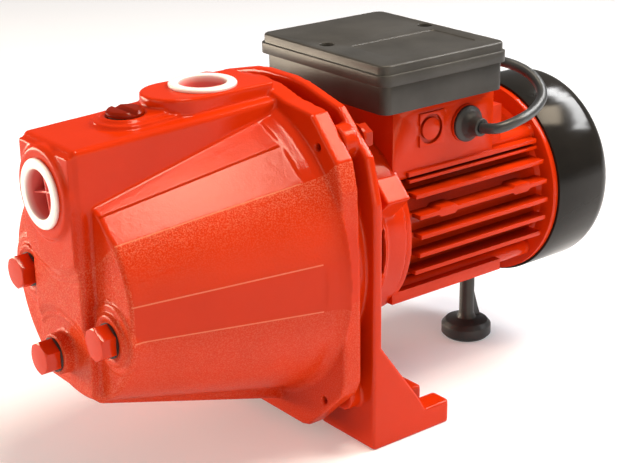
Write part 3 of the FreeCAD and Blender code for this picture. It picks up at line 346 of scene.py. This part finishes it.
def painted_glint_strength(tree, place):
    """How strongly the painted glints show, as pale specks of painted highlight: most near the top of the
    cone's flank, some on the nose.
    """
    x, rise, _, angle = about_shaft(tree, place)
    low, high = math.radians(SAND_LOW_ANGLE), math.radians(SAND_HIGH_ANGLE)
    climb = calculated(tree, "DIVIDE", calculated(tree, "SUBTRACT", angle, low), high - low)
    climb = calculated(tree, "POWER", calculated(tree, "MAXIMUM", climb, 0.0), 2.0)
    flank = calculated(tree, "MULTIPLY", climb, between(tree, angle, low, high))
    underside = below(tree, angle, math.radians(UNDERSIDE_ANGLE), UNDERSIDE_GLINTS)
    fade = calculated(tree, "DIVIDE", calculated(tree, "SUBTRACT", NOSE_GLINT_TOP, rise), NOSE_GLINT_FADE)
    fade = calculated(tree, "MINIMUM", calculated(tree, "MAXIMUM", fade, 0.0), NOSE_GLINTS)
    nose = calculated(tree, "MULTIPLY", below(tree, x, NOSE_WALL_X, 1.0), fade)
    return greatest(tree, flank, underside, nose)


def blended(tree, share, colour, other, way="MIX"):
    """Colour socket that goes from colour to the other, a plain colour or a socket, by share."""
    node = tree.nodes.new("ShaderNodeMix")
    node.data_type = "RGBA"
    node.blend_type = way
    if isinstance(share, bpy.types.NodeSocket):
        tree.links.new(share, node.inputs["Factor"])
    else:
        node.inputs["Factor"].default_value = share
    tree.links.new(colour, node.inputs["A"])
    if isinstance(other, bpy.types.NodeSocket):
        tree.links.new(other, node.inputs["B"])
    else:
        node.inputs["B"].default_value = (*other, 1.0)
    return node.outputs["Result"]


def mixed(colour, other, share):
    """Plain colour that is this share of the way to the other one."""
    return tuple(a * (1 - share) + b * share for a, b in zip(colour, other))


def painted_gap_shade(tree, colour, depth, shade_darkest):
    """Colour socket with painted shade: darkens the colour by ambient occlusion, in gaps up to depth
    across.
    """
    shade = tree.nodes.new("ShaderNodeAmbientOcclusion")
    shade.samples = 6
    shade.only_local = True
    shade.inputs["Distance"].default_value = depth
    level = ramp(tree, shade.outputs["AO"], [(0.22, shade_darkest), (0.68, 1.0)])
    return blended(tree, 1.0, colour, level.outputs["Color"], "MULTIPLY")


def cast_lines(tree, shader, place, colour, colour_out, coat):
    """Painted glints, seams with a painted highlight and the groove with painted shade on the casing: its
    colour socket and their bump layers.
    """
    # painted highlights: specks of pale colour where grains would catch the light
    specks = noise(tree, place, GLINT_SCALE, 2.0, 0.6)
    painted_glints = ramp(tree, specks.outputs["Fac"], [(0.44, 0.0), (0.64, 1.0)])
    share = calculated(tree, "MULTIPLY", painted_glints.outputs["Color"], calculated(
        tree, "MULTIPLY", painted_glint_strength(tree, place), GLINT_SHARE))
    colour_out = blended(tree, share, colour_out, PAINTED_HIGHLIGHT_COLOUR)
    # the seams are raised by bump; their paler colour is a painted highlight
    seams = greatest(tree, *(line_mask(tree, place, degrees, SEAM_HALF_WIDTH) for degrees in SEAM_ANGLES))
    colour_out = blended(tree, calculated(tree, "MULTIPLY", seams, SEAM_HIGHLIGHT_SHARE), colour_out, PAINTED_HIGHLIGHT_COLOUR)
    # the groove is cut by bump; its darker colour is painted shade
    groove = line_mask(tree, place, GROOVE_ANGLE, GROOVE_HALF_WIDTH)
    colour_out = blended(tree, groove, colour_out, mixed(colour, BLACK, 0.3))
    clear = calculated(tree, "SUBTRACT", 1.0, groove)
    tree.links.new(calculated(tree, "MULTIPLY", clear, coat), shader.inputs["Coat Weight"])
    return colour_out, [(clear, 0.8, GROOVE_DEPTH), (seams, 0.6, SEAM_HEIGHT)]


def enamel(name, colour, roughness, coat, sand=0.0, on_casing=False, shade_darkest=1.0):
    """Glossy paint over metal. sand is how rough the casting below it is, from 0 to 1."""
    made, tree, shader, place = material(name)
    cloud = noise(tree, place, 26.0, 4.0)
    tone = ramp(tree, cloud.outputs["Fac"], [(0.3, mixed(colour, BLACK, 0.10)), (0.7, colour)])
    colour_out = tone.outputs["Color"]
    grain = noise(tree, place, SAND_SCALE, 3.0, 0.6)
    lumps = noise(tree, place, LUMP_SCALE, 2.0)
    worn = ramp(tree, grain.outputs["Fac"], [(0.3, roughness * 0.8), (0.75, roughness * 1.35)])
    tree.links.new(worn.outputs["Color"], shader.inputs["Roughness"])
    shader.inputs["Specular IOR Level"].default_value = 0.0
    shader.inputs["Coat Weight"].default_value = coat
    shader.inputs["Coat Roughness"].default_value = roughness * 0.7
    strength = sand_strength(tree, place) if on_casing else 0.5
    layers = [
        (lumps.outputs["Fac"], strength, SAND_HEIGHT * sand + 0.00002),
        (grain.outputs["Fac"], strength, SAND_HEIGHT * sand + 0.00001),
    ]
    # the casing also gets painted glints, painted shade in the groove and a painted highlight on the seams
    if on_casing:
        colour_out, lines = cast_lines(tree, shader, place, colour, colour_out, coat)
        layers += lines
    # painted shade in the gaps
    if shade_darkest < 1.0:
        colour_out = painted_gap_shade(tree, colour_out, SHADE_GAP_DEPTH, shade_darkest)
    tree.links.new(colour_out, shader.inputs["Base Color"])
    bumped(tree, shader, layers, ("Normal", "Coat Normal"))
    return made


def moulded(name, colour, roughness, grain=0.35, specular=0.5):
    """Moulded plastic or rubber with a fine eroded grain."""
    made, tree, shader, place = material(name)
    cloud = noise(tree, place, 40.0, 5.0)
    tone = ramp(tree, cloud.outputs["Fac"], [
        (0.3, mixed(colour, BLACK, 0.15)), (0.7, mixed(colour, WHITE, 0.015))])
    tree.links.new(tone.outputs["Color"], shader.inputs["Base Color"])
    fine = noise(tree, place, 2600.0, 2.0)
    dull = ramp(tree, fine.outputs["Fac"], [(0.3, roughness * 0.85), (0.8, roughness * 1.15)])
    tree.links.new(dull.outputs["Color"], shader.inputs["Roughness"])
    shader.inputs["Specular IOR Level"].default_value = specular
    bumped(tree, shader, [(fine.outputs["Fac"], grain, 0.00008)])
    return made


def metal(name, colour, roughness, scratch_scale=900.0):
    """Machined or plated metal with fine scratches."""
    made, tree, shader, place = material(name)
    shader.inputs["Metallic"].default_value = 1.0
    cloud = noise(tree, place, 60.0, 4.0)
    tone = ramp(tree, cloud.outputs["Fac"], [(0.3, mixed(colour, BLACK, 0.18)), (0.7, colour)])
    tree.links.new(tone.outputs["Color"], shader.inputs["Base Color"])
    fine = noise(tree, place, scratch_scale, 2.0)
    dull = ramp(tree, fine.outputs["Fac"], [(0.3, roughness * 0.7), (0.8, roughness * 1.3)])
    tree.links.new(dull.outputs["Color"], shader.inputs["Roughness"])
    bumped(tree, shader, [(fine.outputs["Fac"], 0.15, 0.00005)])
    return made


def milky(name, face, way):
    """Translucent polyethylene, with the red of the paint around it, seen through its wall, painted into
    its colour in its depth.
    """
    rim_colour, painted_show_through_red, depth = (0.9, 0.87, 0.86), (0.74, 0.06, 0.045), 0.018
    made, tree, shader, place = material(name)
    turn = tree.nodes.new("ShaderNodeMapping")
    turn.inputs["Location"].default_value = -Vector(face)
    tree.links.new(place.outputs["Object"], turn.inputs["Vector"])
    along = tree.nodes.new("ShaderNodeVectorMath")
    along.operation = "DOT_PRODUCT"
    along.inputs[1].default_value = tuple(Vector(way) / depth)
    tree.links.new(turn.outputs["Vector"], along.inputs[0])
    grow = calculated(tree, "ADD", along.outputs["Value"], 1.0)
    # painted light: the casing's red shown through the plastic, strongest at the bottom of the cup, fading
    # to the plastic's own white at the rim
    tone = ramp(tree, grow, [
        (0.0, painted_show_through_red), (0.75, mixed(painted_show_through_red, rim_colour, 0.12)),
        (0.88, mixed(painted_show_through_red, rim_colour, 0.45)), (0.97, rim_colour)])
    tree.links.new(tone.outputs["Color"], shader.inputs["Base Color"])
    shader.inputs["Subsurface Weight"].default_value = 0.2
    shader.inputs["Subsurface Scale"].default_value = 0.003
    shader.inputs["Roughness"].default_value = 0.3
    fine = noise(tree, place, 700.0, 2.0)
    bumped(tree, shader, [(fine.outputs["Fac"], 0.1, 0.00008)])
    return made


def cap_face(cap, way):
    """Middle of a port cap's outer face."""
    low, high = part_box(cap + "_port_cap")
    centre, half = (low + high) / 2, (high - low) / 2
    return centre + Vector(way) * abs(half.dot(Vector(way)))


def cover_paint():
    """Smooth black gloss, a little rippled by the drawn steel below it."""
    made, tree, shader, place = material("black_cover_paint")
    cloud = noise(tree, place, 30.0, 3.0)
    tone = ramp(tree, cloud.outputs["Fac"], [(0.3, (0.010, 0.009, 0.008)), (0.7, (0.017, 0.015, 0.013))])
    tree.links.new(tone.outputs["Color"], shader.inputs["Base Color"])
    dust = noise(tree, place, 900.0, 3.0)
    dull = ramp(tree, dust.outputs["Fac"], [(0.3, 0.13), (0.8, 0.18)])
    tree.links.new(dull.outputs["Color"], shader.inputs["Roughness"])
    shader.inputs["Specular IOR Level"].default_value = 0.2
    ripple = noise(tree, place, 22.0, 1.0)
    bumped(tree, shader, [(ripple.outputs["Fac"], 0.25, 0.0004), (dust.outputs["Fac"], 0.1, 0.00003)])
    return made


CAP_WAYS = {"suction": (-1.0, 0.0, 0.0), "discharge": (0.0, 0.0, 1.0)}


def make_finishes(look):
    """Fills FINISH with every material of the pump, by its use."""
    red = tuple(look.paint)
    grey = tuple(look.box_plastic)
    FINISH["casing"] = enamel("red_enamel_on_casing", red, 0.2, 0.40, sand=1.0, on_casing=True)
    FINISH["cast"] = enamel("red_enamel_on_bracket", red, 0.2, 0.42, sand=0.35)
    # the die castings get painted shade between their fins, down to a fifth of their colour
    FINISH["paint"] = enamel("red_enamel_on_die_casting", red, 0.2, 0.36, sand=0.05, shade_darkest=0.2)
    # the bolts' darker red is painted shade, for the dark gap between the flanges they sit in
    FINISH["shaded_bolt_paint"] = enamel("shaded_red_enamel_on_bolts", mixed(red, BLACK, 0.3), 0.2, 0.4)
    FINISH["plug_paint"] = enamel("red_enamel_on_plugs", red, 0.2, 0.6, sand=0.05)
    # the priming plug's darker red is painted shade
    FINISH["shaded_plug_paint"] = enamel("shaded_deep_red_enamel", mixed(red, BLACK, 0.65), 0.25, 0.3, sand=0.05)
    FINISH["cover"] = cover_paint()
    FINISH["box"] = moulded("grey_box_plastic", grey, 0.42, specular=0.3)
    for cap, way in CAP_WAYS.items():
        FINISH[cap + "_cap"] = milky(cap + "_cap_polyethylene", cap_face(cap, way), way)
    FINISH["rubber"] = moulded("black_rubber", (0.02, 0.02, 0.021), 0.5, 0.5)
    FINISH["sheath"] = moulded("lead_sheath", (0.035, 0.038, 0.042), 0.36, 0.2)
    FINISH["black_plastic"] = moulded("black_fan_plastic", (0.03, 0.03, 0.03), 0.45)
    FINISH["pale_plastic"] = moulded("pale_plastic", (0.7, 0.69, 0.65), 0.4)
    FINISH["carbon"] = moulded("seal_carbon", (0.05, 0.05, 0.055), 0.3, 0.1)
    FINISH["ceramic"] = moulded("seal_ceramic", (0.85, 0.84, 0.8), 0.25, 0.1)
    FINISH["technopolymer"] = moulded("ejector_plastic", (0.06, 0.06, 0.065), 0.4)
    FINISH["zinc"] = metal("zinc_plated_steel", (0.62, 0.62, 0.6), 0.35)
    FINISH["dark_screw"] = metal("blackened_screw", (0.05, 0.05, 0.05), 0.4)
    FINISH["bright"] = metal("bearing_steel", (0.72, 0.72, 0.73), 0.15)
    FINISH["lamination"] = metal("core_plates", (0.3, 0.3, 0.31), 0.45, 300.0)
    FINISH["aluminium"] = metal("cast_aluminium", (0.62, 0.63, 0.64), 0.4)
    FINISH["brass"] = metal("impeller_brass", (0.72, 0.52, 0.22), 0.3)
    FINISH["copper"] = metal("winding_wire", (0.65, 0.28, 0.12), 0.3, 400.0)


# ---------------------------------------------------------------- sizes and colours a user may change
class JetPumpLook(bpy.types.PropertyGroup):
    paint: bpy.props.FloatVectorProperty(
        name="Paint", description="Colour of the enamel", subtype="COLOR", size=3,
        default=(0.60, 0.030, 0.002), min=0.0, max=1.0)
    box_plastic: bpy.props.FloatVectorProperty(
        name="Box plastic", description="Colour of the terminal box", subtype="COLOR", size=3,
        default=(0.041, 0.039, 0.0355), min=0.0, max=1.0)
    floor: bpy.props.FloatVectorProperty(
        name="Floor", description="Colour of the studio floor", subtype="COLOR", size=3,
        default=(0.86, 0.885, 0.95), min=0.0, max=1.0)


class JetPumpSizes(bpy.types.PropertyGroup):
    mould_radius: bpy.props.FloatProperty(
        name="Casting detail", description="Voxel size that the castings are softened with",
        default=0.0011, min=0.0005, max=0.004, unit="LENGTH", precision=5)
    lead_diameter: bpy.props.FloatProperty(
        name="Lead diameter", description="Outer diameter of the mains lead",
        default=0.0065, min=0.004, max=0.012, unit="LENGTH", precision=4)
    lead_length: bpy.props.FloatProperty(
        name="Lead length", description="Length of the mains lead from gland to plug",
        default=1.5, min=0.5, max=10.0, unit="LENGTH")


# ---------------------------------------------------------------- the studio
CAMERA_PLACE = (-0.52708, -0.66737, 0.42004)
CAMERA_TURN = (-37.865, 20.444, -0.806)      # azimuth, height above level and roll, in degrees
CAMERA_LENS = 87.944
CAMERA_SENSOR = 36.0
CAMERA_CLIP = (0.05, 20.0)
WORLD_STRENGTH = 0.22
FLOOR_SIZE = 8.0
FLOOR_GLOW = 0.17
FAR_GLOW = 0.14                              # added for each metre beyond NEAR_FLOOR
NEAR_FLOOR = 0.9

# lights: colours, the points they aim at, and their rows
PLAIN = (1.0, 1.0, 1.0)
WARM = (1.0, 0.84, 0.64)
AMBER = (1.0, 0.80, 0.55)
CONE_SIDE = (-0.10, -0.05, 0.165)
SHOULDER = (-0.02, -0.07, 0.17)
COVER_SIDE = (0.16, -0.05, 0.14)
NOSE = (-0.178, 0.0, 0.10)
UP = (0.0, 0.0, 1.0)
ACROSS = (0.0, 1.0, 0.0)
# name: (aim, direction from the aim, distance, width and length, radiance, way of the length, colour)
LIGHTS = {
    "overhead_strip": (CONE_SIDE, (0.13, -0.10, 0.96), 1.2, (0.24, 0.72), 25.0, ACROSS, WARM),
    "shoulder_softbox": (SHOULDER, (0.61, -0.27, 0.745), 1.2, (0.25, 0.40), 15.0, ACROSS, WARM),
    "right_softbox": (COVER_SIDE, (0.715, -0.15, 0.68), 1.2, (0.17, 1.0), 27.0, (0.0, 0.93, 0.36), PLAIN),
    "front_fill": (CONE_SIDE, (-0.05, -0.99, 0.10), 1.6, (1.8, 0.45), 3.0, UP, AMBER),
    "left_fill": (NOSE, (-0.92, 0.15, 0.30), 1.4, (0.9, 0.7), 2.4, UP, AMBER),
    "low_rear_softbox": (NOSE, (-0.45, 0.85, 0.05), 1.3, (0.8, 0.5), 20.0, UP, WARM),
}


def camera_matrix():
    """The camera's place and turn."""
    azimuth, height, roll = (math.radians(a) for a in CAMERA_TURN)
    level = Vector((math.cos(azimuth), math.sin(azimuth), 0.0))
    away = Vector((math.sin(azimuth), -math.cos(azimuth), 0.0))
    back = away * math.cos(height) + Vector(UP) * math.sin(height)
    up = back.cross(level)
    right = math.cos(roll) * level + math.sin(roll) * up
    rise = -math.sin(roll) * level + math.cos(roll) * up
    turned = Matrix((right, rise, back)).transposed().to_4x4()
    return Matrix.Translation(Vector(CAMERA_PLACE)) @ turned


def softbox(name, aim, toward, distance, size, radiance, long_way, colour):
    """Rectangular light of an even brightness, in the direction toward from the aim point, facing it."""
    nothing_selected()
    bpy.ops.object.light_add(type="AREA")
    light = bpy.context.active_object
    light.name = name
    light.data.shape = "RECTANGLE"
    light.data.size, light.data.size_y = size
    light.data.energy = radiance * math.pi * size[0] * size[1]
    light.data.color = colour
    way = Vector(toward).normalized()
    across = Vector(long_way).cross(way).normalized()
    along = way.cross(across)
    turn = Matrix((across, along, way)).transposed().to_4x4()
    light.matrix_world = Matrix.Translation(Vector(aim) + way * distance) @ turn
    return light


def grey_world():
    """Even pale grey all round, which lights the object and stands behind it."""
    world = bpy.data.worlds.new("studio")
    bpy.context.scene.world = world
    world.use_nodes = True
    light = world.node_tree.nodes["Background"]
    light.inputs["Color"].default_value = (*PLAIN, 1.0)
    light.inputs["Strength"].default_value = WORLD_STRENGTH


def floor_material(colour):
    """Matt pale floor that looks brighter than it is, straight on and in reflections, most far away."""
    made, tree, shader, place = material("studio_floor")
    cloud = noise(tree, place, 3.0, 2.0)
    tone = ramp(tree, cloud.outputs["Fac"], [(0.3, tuple(c * 0.99 for c in colour)), (0.7, tuple(colour))])
    tree.links.new(tone.outputs["Color"], shader.inputs["Base Color"])
    shader.inputs["Roughness"].default_value = 0.9
    shader.inputs["Specular IOR Level"].default_value = 0.0
    rays = tree.nodes.new("ShaderNodeLightPath").outputs
    seen = calculated(tree, "MAXIMUM", rays["Is Camera Ray"], calculated(
        tree, "MAXIMUM", rays["Is Glossy Ray"], rays["Is Transmission Ray"]))
    shader.inputs["Emission Color"].default_value = (*PLAIN, 1.0)
    away = tree.nodes.new("ShaderNodeVectorMath")
    away.operation = "LENGTH"
    tree.links.new(place.outputs["Object"], away.inputs[0])
    beyond = calculated(tree, "SUBTRACT", away.outputs["Value"], NEAR_FLOOR)
    beyond = calculated(tree, "MAXIMUM", beyond, 0.0)
    glow = calculated(tree, "ADD", calculated(tree, "MULTIPLY", beyond, FAR_GLOW), FLOOR_GLOW)
    tree.links.new(calculated(tree, "MULTIPLY", seen, glow), shader.inputs["Emission Strength"])
    return made


class OBJECT_OT_pump_studio(bpy.types.Operator):
    """Adds the floor, the soft lights and the camera"""
    bl_idname = "object.pump_studio"
    bl_label = "Studio"

    def execute(self, context):
        look = context.scene.jet_pump_look
        nothing_selected()
        bpy.ops.mesh.primitive_plane_add(size=FLOOR_SIZE, location=(0, 0, 0))
        floor = context.active_object
        floor.name = "studio_floor"
        floor.data.materials.append(floor_material(look.floor))
        grey_world()
        for name, row in LIGHTS.items():
            softbox(name, *row)
        nothing_selected()
        bpy.ops.object.camera_add()
        camera = context.active_object
        camera.data.sensor_width = CAMERA_SENSOR
        camera.data.lens = CAMERA_LENS
        camera.data.clip_start, camera.data.clip_end = CAMERA_CLIP
        camera.matrix_world = camera_matrix()
        context.scene.camera = camera
        context.scene.view_settings.view_transform = "Standard"
        return {"FINISHED"}


# ---------------------------------------------------------------- castings
CAST_PASSES = 3


class OBJECT_OT_pump_castings(bpy.types.Operator):
    """Builds the nose casing and the motor bracket with its feet, with their soft corners"""
    bl_idname = "object.pump_castings"
    bl_label = "Castings"

    def execute(self, context):
        sizes = context.scene.jet_pump_sizes
        casing = as_cast(["pump_casing"], "casing_casting", sizes.mould_radius, CAST_PASSES, 0.42)
        dressed(casing, FINISH["casing"], "pump", "red_cast", "pump_casing")
        nodes = ["motor_bracket", "near_foot", "far_foot"]
        bracket = as_cast(nodes, "bracket_casting", sizes.mould_radius, CAST_PASSES, 0.45)
        dressed(bracket, FINISH["cast"], "pump", "red_cast", *nodes)
        return {"FINISHED"}


# ---------------------------------------------------------------- shells, caps and plugs
CAP_CUP_RADIUS = 0.0136
CAP_RIB = 0.0011                             # thickness of a rib
CAP_RIB_ROOT = -0.0145                       # below the cap's face
CAP_RIB_TOP = -0.0050
CAP_CROSS_TURN = math.radians(12.0)


def cap_cross(cap, way):
    """Two thin crossed ribs that stiffen a port cap's cup."""
    face = cap_face(cap, way)
    turn = Vector((0, 0, 1)).rotation_difference(Vector(way))
    plates = []
    for quarter in (0.0, math.pi / 2):
        nothing_selected()
        bpy.ops.mesh.primitive_cube_add(size=1.0)
        plate = bpy.context.active_object
        plate.scale = (2 * CAP_CUP_RADIUS, CAP_RIB, CAP_RIB_TOP - CAP_RIB_ROOT)
        bpy.ops.object.transform_apply(scale=True)
        modified(plate, "BEVEL", width=CAP_RIB * 0.3, segments=2)
        plate.rotation_mode = "QUATERNION"
        plate.rotation_quaternion = turn @ Matrix.Rotation(quarter + CAP_CROSS_TURN, 3, "Z").to_quaternion()
        plate.location = face + Vector(way) * (CAP_RIB_TOP + CAP_RIB_ROOT) / 2
        plates.append(settled(plate))
    cross = joined(plates)
    cross.name = cap + "_cap_cross"
    return smooth(cross)


# node: (new piece, edge width, finish, body, slot)
SOFTENED = {
    "motor_frame": ("frame_casting", 0.0005, "paint", "pump", "red_paint"),
    "rear_end_shield": ("shield_casting", 0.0004, "paint", "pump", "red_paint"),
    "fan_cover": ("cover_shell", 0.0003, "cover", "pump", "black_gloss"),
    "terminal_box_lid": ("lid_moulding", 0.0006, "box", "pump", "grey_plastic"),
    "terminal_box_base": ("tray_moulding", 0.0005, "box", "pump", "grey_plastic"),
    "cable_grommet": ("gland_moulding", 0.0004, "rubber", "pump", "black_rubber"),
    "rear_foot": ("prop_moulding", 0.0006, "rubber", "pump", "black_rubber"),
    "mains_plug": ("plug_moulding", 0.0006, "sheath", "pump", "cord_rubber"),
    "suction_port_cap": ("suction_cap_moulding", 0.0002, "suction_cap", "suction_cap", "cap_white"),
    "discharge_port_cap": ("discharge_cap_moulding", 0.0002, "discharge_cap", "discharge_cap", "cap_white"),
    "near_side_plug": ("near_side_screw", 0.0004, "plug_paint", "near_side_plug_body", "brass_painted"),
    "far_side_plug": ("far_side_screw", 0.0004, "plug_paint", "far_side_plug_body", "brass_painted"),
    "drain_plug": ("drain_screw", 0.0004, "plug_paint", "drain_plug_body", "brass_painted"),
    "priming_plug": ("priming_screw", 0.0003, "shaded_plug_paint", "priming_plug_body", "brass_painted"),
}


class OBJECT_OT_pump_mouldings(bpy.types.Operator):
    """Builds the motor's shells, the box, the caps, the plugs and the rubber with broken edges"""
    bl_idname = "object.pump_mouldings"
    bl_label = "Shells, caps and plugs"

    def execute(self, context):
        for node, (name, width, finish, body, slot) in SOFTENED.items():
            piece = softened(node, name, width)
            dressed(piece, FINISH[finish], body, slot, node)
        for cap, way in CAP_WAYS.items():
            dressed(cap_cross(cap, way), FINISH[cap + "_cap"], cap + "_cap", "cap_white")
        return {"FINISHED"}


# ---------------------------------------------------------------- mains lead
# control points in millimetres: from the gland over the motor to the floor, and from the coil to the plug
LEAD_ROUTE = [
    (75.0, -60.2, 167.0), (75.6, -67.0, 167.4), (80.0, -72.5, 169.0), (91.0, -75.0, 172.0),
    (107.0, -71.0, 173.5), (125.0, -62.5, 179.0), (130.5, -45.0, 188.5), (125.0, -22.0, 193.0),
    (117.0, 10.0, 190.0), (114.0, 42.0, 175.0), (113.0, 68.0, 147.0), (114.0, 84.0, 112.0),
    (112.0, 95.0, 74.0), (105.0, 103.0, 38.0), (86.0, 107.0, 11.0), (60.0, 109.5, 3.25),
]
LEAD_TAIL = [
    (40.0, 192.6, 8.0), (58.0, 189.0, 3.25), (76.0, 184.0, 3.6), (92.0, 182.0, 11.0), (108.0, 182.0, 18.5),
]
COIL_CENTRE = (20.0, 152.0)
COIL_RADIUS = 43.5
COIL_STEP = 6.6                              # from one turn or layer to the next
COIL_FLOOR = 3.25                            # height of the low layer's middle
COIL_TURN_POINTS = 16
LOW_TURNS, CLIMB_TURNS, HIGH_TURNS = 2.25, 0.25, 2.0


def coil_points():
    """Control points of the coil: in along the floor, up one layer, and out again on top."""
    corner = 1.0 / math.cos(math.pi / COIL_TURN_POINTS) ** 0.5
    points = []
    total = int((LOW_TURNS + CLIMB_TURNS + HIGH_TURNS) * COIL_TURN_POINTS)
    for i in range(total + 1):
        turn = i / COIL_TURN_POINTS
        inward = min(turn, LOW_TURNS)
        outward = max(0.0, turn - LOW_TURNS - CLIMB_TURNS)
        radius = (COIL_RADIUS - COIL_STEP * inward + COIL_STEP * outward) * corner
        rise = min(1.0, max(0.0, (turn - LOW_TURNS) / CLIMB_TURNS))
        angle = math.radians(-90) - 2 * math.pi * turn
        points.append((
            COIL_CENTRE[0] + radius * math.cos(angle),
            COIL_CENTRE[1] + radius * math.sin(angle),
            COIL_FLOOR + COIL_STEP * rise,
        ))
    return points


def lead_curve(points, diameter):
    """Smooth lead on one NURBS spline with these control points, in millimetres."""
    data = bpy.data.curves.new("mains_lead", "CURVE")
    data.dimensions = "3D"
    spline = data.splines.new("NURBS")
    spline.points.add(len(points) - 1)
    for target, point in zip(spline.points, points):
        target.co = (*(v * MM for v in point), 1.0)
    spline.order_u = 3
    spline.use_endpoint_u = True
    spline.resolution_u = 8
    data.bevel_depth = diameter / 2
    data.bevel_resolution = 4
    data.use_fill_caps = True
    piece = bpy.data.objects.new("mains_lead", data)
    bpy.context.scene.collection.objects.link(piece)
    return piece


class OBJECT_OT_pump_lead(bpy.types.Operator):
    """Lays the mains lead from the gland over the motor to its coil and plug"""
    bl_idname = "object.pump_lead"
    bl_label = "Mains lead"

    def execute(self, context):
        sizes = context.scene.jet_pump_sizes
        piece = lead_curve(LEAD_ROUTE + coil_points() + LEAD_TAIL, sizes.lead_diameter)
        dressed(piece, FINISH["sheath"], "pump", "cord_rubber", "power_cord", "cord_coil", "cord_tail")
        return {"FINISHED"}


# ---------------------------------------------------------------- nodes that stay
# finish: nodes that show as they are
KEPT = {
    "rubber": ["casing_o_ring", "seal_bellows", "water_slinger", "terminal_box_gasket",
               "near_side_plug_washer", "far_side_plug_washer", "drain_plug_washer", "priming_plug_washer"],
    "black_plastic": ["cooling_fan"],
    "pale_plastic": ["terminal_block", "run_capacitor"],
    "carbon": ["seal_carbon_ring"],
    "ceramic": ["seal_seat"],
    "technopolymer": ["ejector_nozzle", "venturi_tube", "diffuser"],
    "shaded_bolt_paint": ["casing_bolts"],
    "zinc": ["impeller_key", "impeller_nut", "bearing_cages", "tie_rods", "fan_clip",
             "box_screws", "mains_plug_pins", "rear_foot_screw"],
    "dark_screw": ["lid_screws"],
    "bright": ["motor_shaft", "front_bearing_outer_ring", "front_bearing_inner_ring",
               "rear_bearing_outer_ring", "rear_bearing_inner_ring", "bearing_balls",
               "bearing_wave_washer"],
    "lamination": ["rotor_core", "stator_core"],
    "aluminium": ["rotor_cage"],
    "brass": ["impeller"],
    "copper": ["stator_windings"],
}


class OBJECT_OT_pump_finishes(bpy.types.Operator):
    """Makes every finish and gives the construction's own pieces theirs"""
    bl_idname = "object.pump_finishes"
    bl_label = "Finishes"

    def execute(self, context):
        make_finishes(context.scene.jet_pump_look)
        for finish, nodes in KEPT.items():
            for node in nodes:
                painted(node, FINISH[finish])
        return {"FINISHED"}


class VIEW3D_PT_jet_pump(bpy.types.Panel):
    """Lists the steps of the jet pump"""
    bl_idname = "VIEW3D_PT_jet_pump"
    bl_label = "Jet pump"
    bl_space_type = "VIEW_3D"
    bl_region_type = "UI"
    bl_category = "Jet pump"

    def draw(self, context):
        column = self.layout.column()
        for group in (context.scene.jet_pump_look, context.scene.jet_pump_sizes):
            for name in group.__annotations__:
                column.prop(group, name)
        for step in STEPS:
            column.operator(step.bl_idname)


STEPS = (
    OBJECT_OT_pump_studio,
    OBJECT_OT_pump_finishes,
    OBJECT_OT_pump_mouldings,
    OBJECT_OT_pump_lead,
    OBJECT_OT_pump_castings,
)
CLASSES = (JetPumpLook, JetPumpSizes) + STEPS + (VIEW3D_PT_jet_pump,)


def register():
    for item in CLASSES:
        bpy.utils.register_class(item)
    bpy.types.Scene.jet_pump_look = bpy.props.PointerProperty(type=JetPumpLook)
    bpy.types.Scene.jet_pump_sizes = bpy.props.PointerProperty(type=JetPumpSizes)


def unregister():
    del bpy.types.Scene.jet_pump_look
    del bpy.types.Scene.jet_pump_sizes
    for item in reversed(CLASSES):
        bpy.utils.unregister_class(item)


def main():
    register()
    bpy.ops.object.pump_studio()
    bpy.ops.object.pump_finishes()
    bpy.ops.object.pump_mouldings()
    bpy.ops.object.pump_lead()
    bpy.ops.object.pump_castings()


if __name__ == "__main__":
    main()
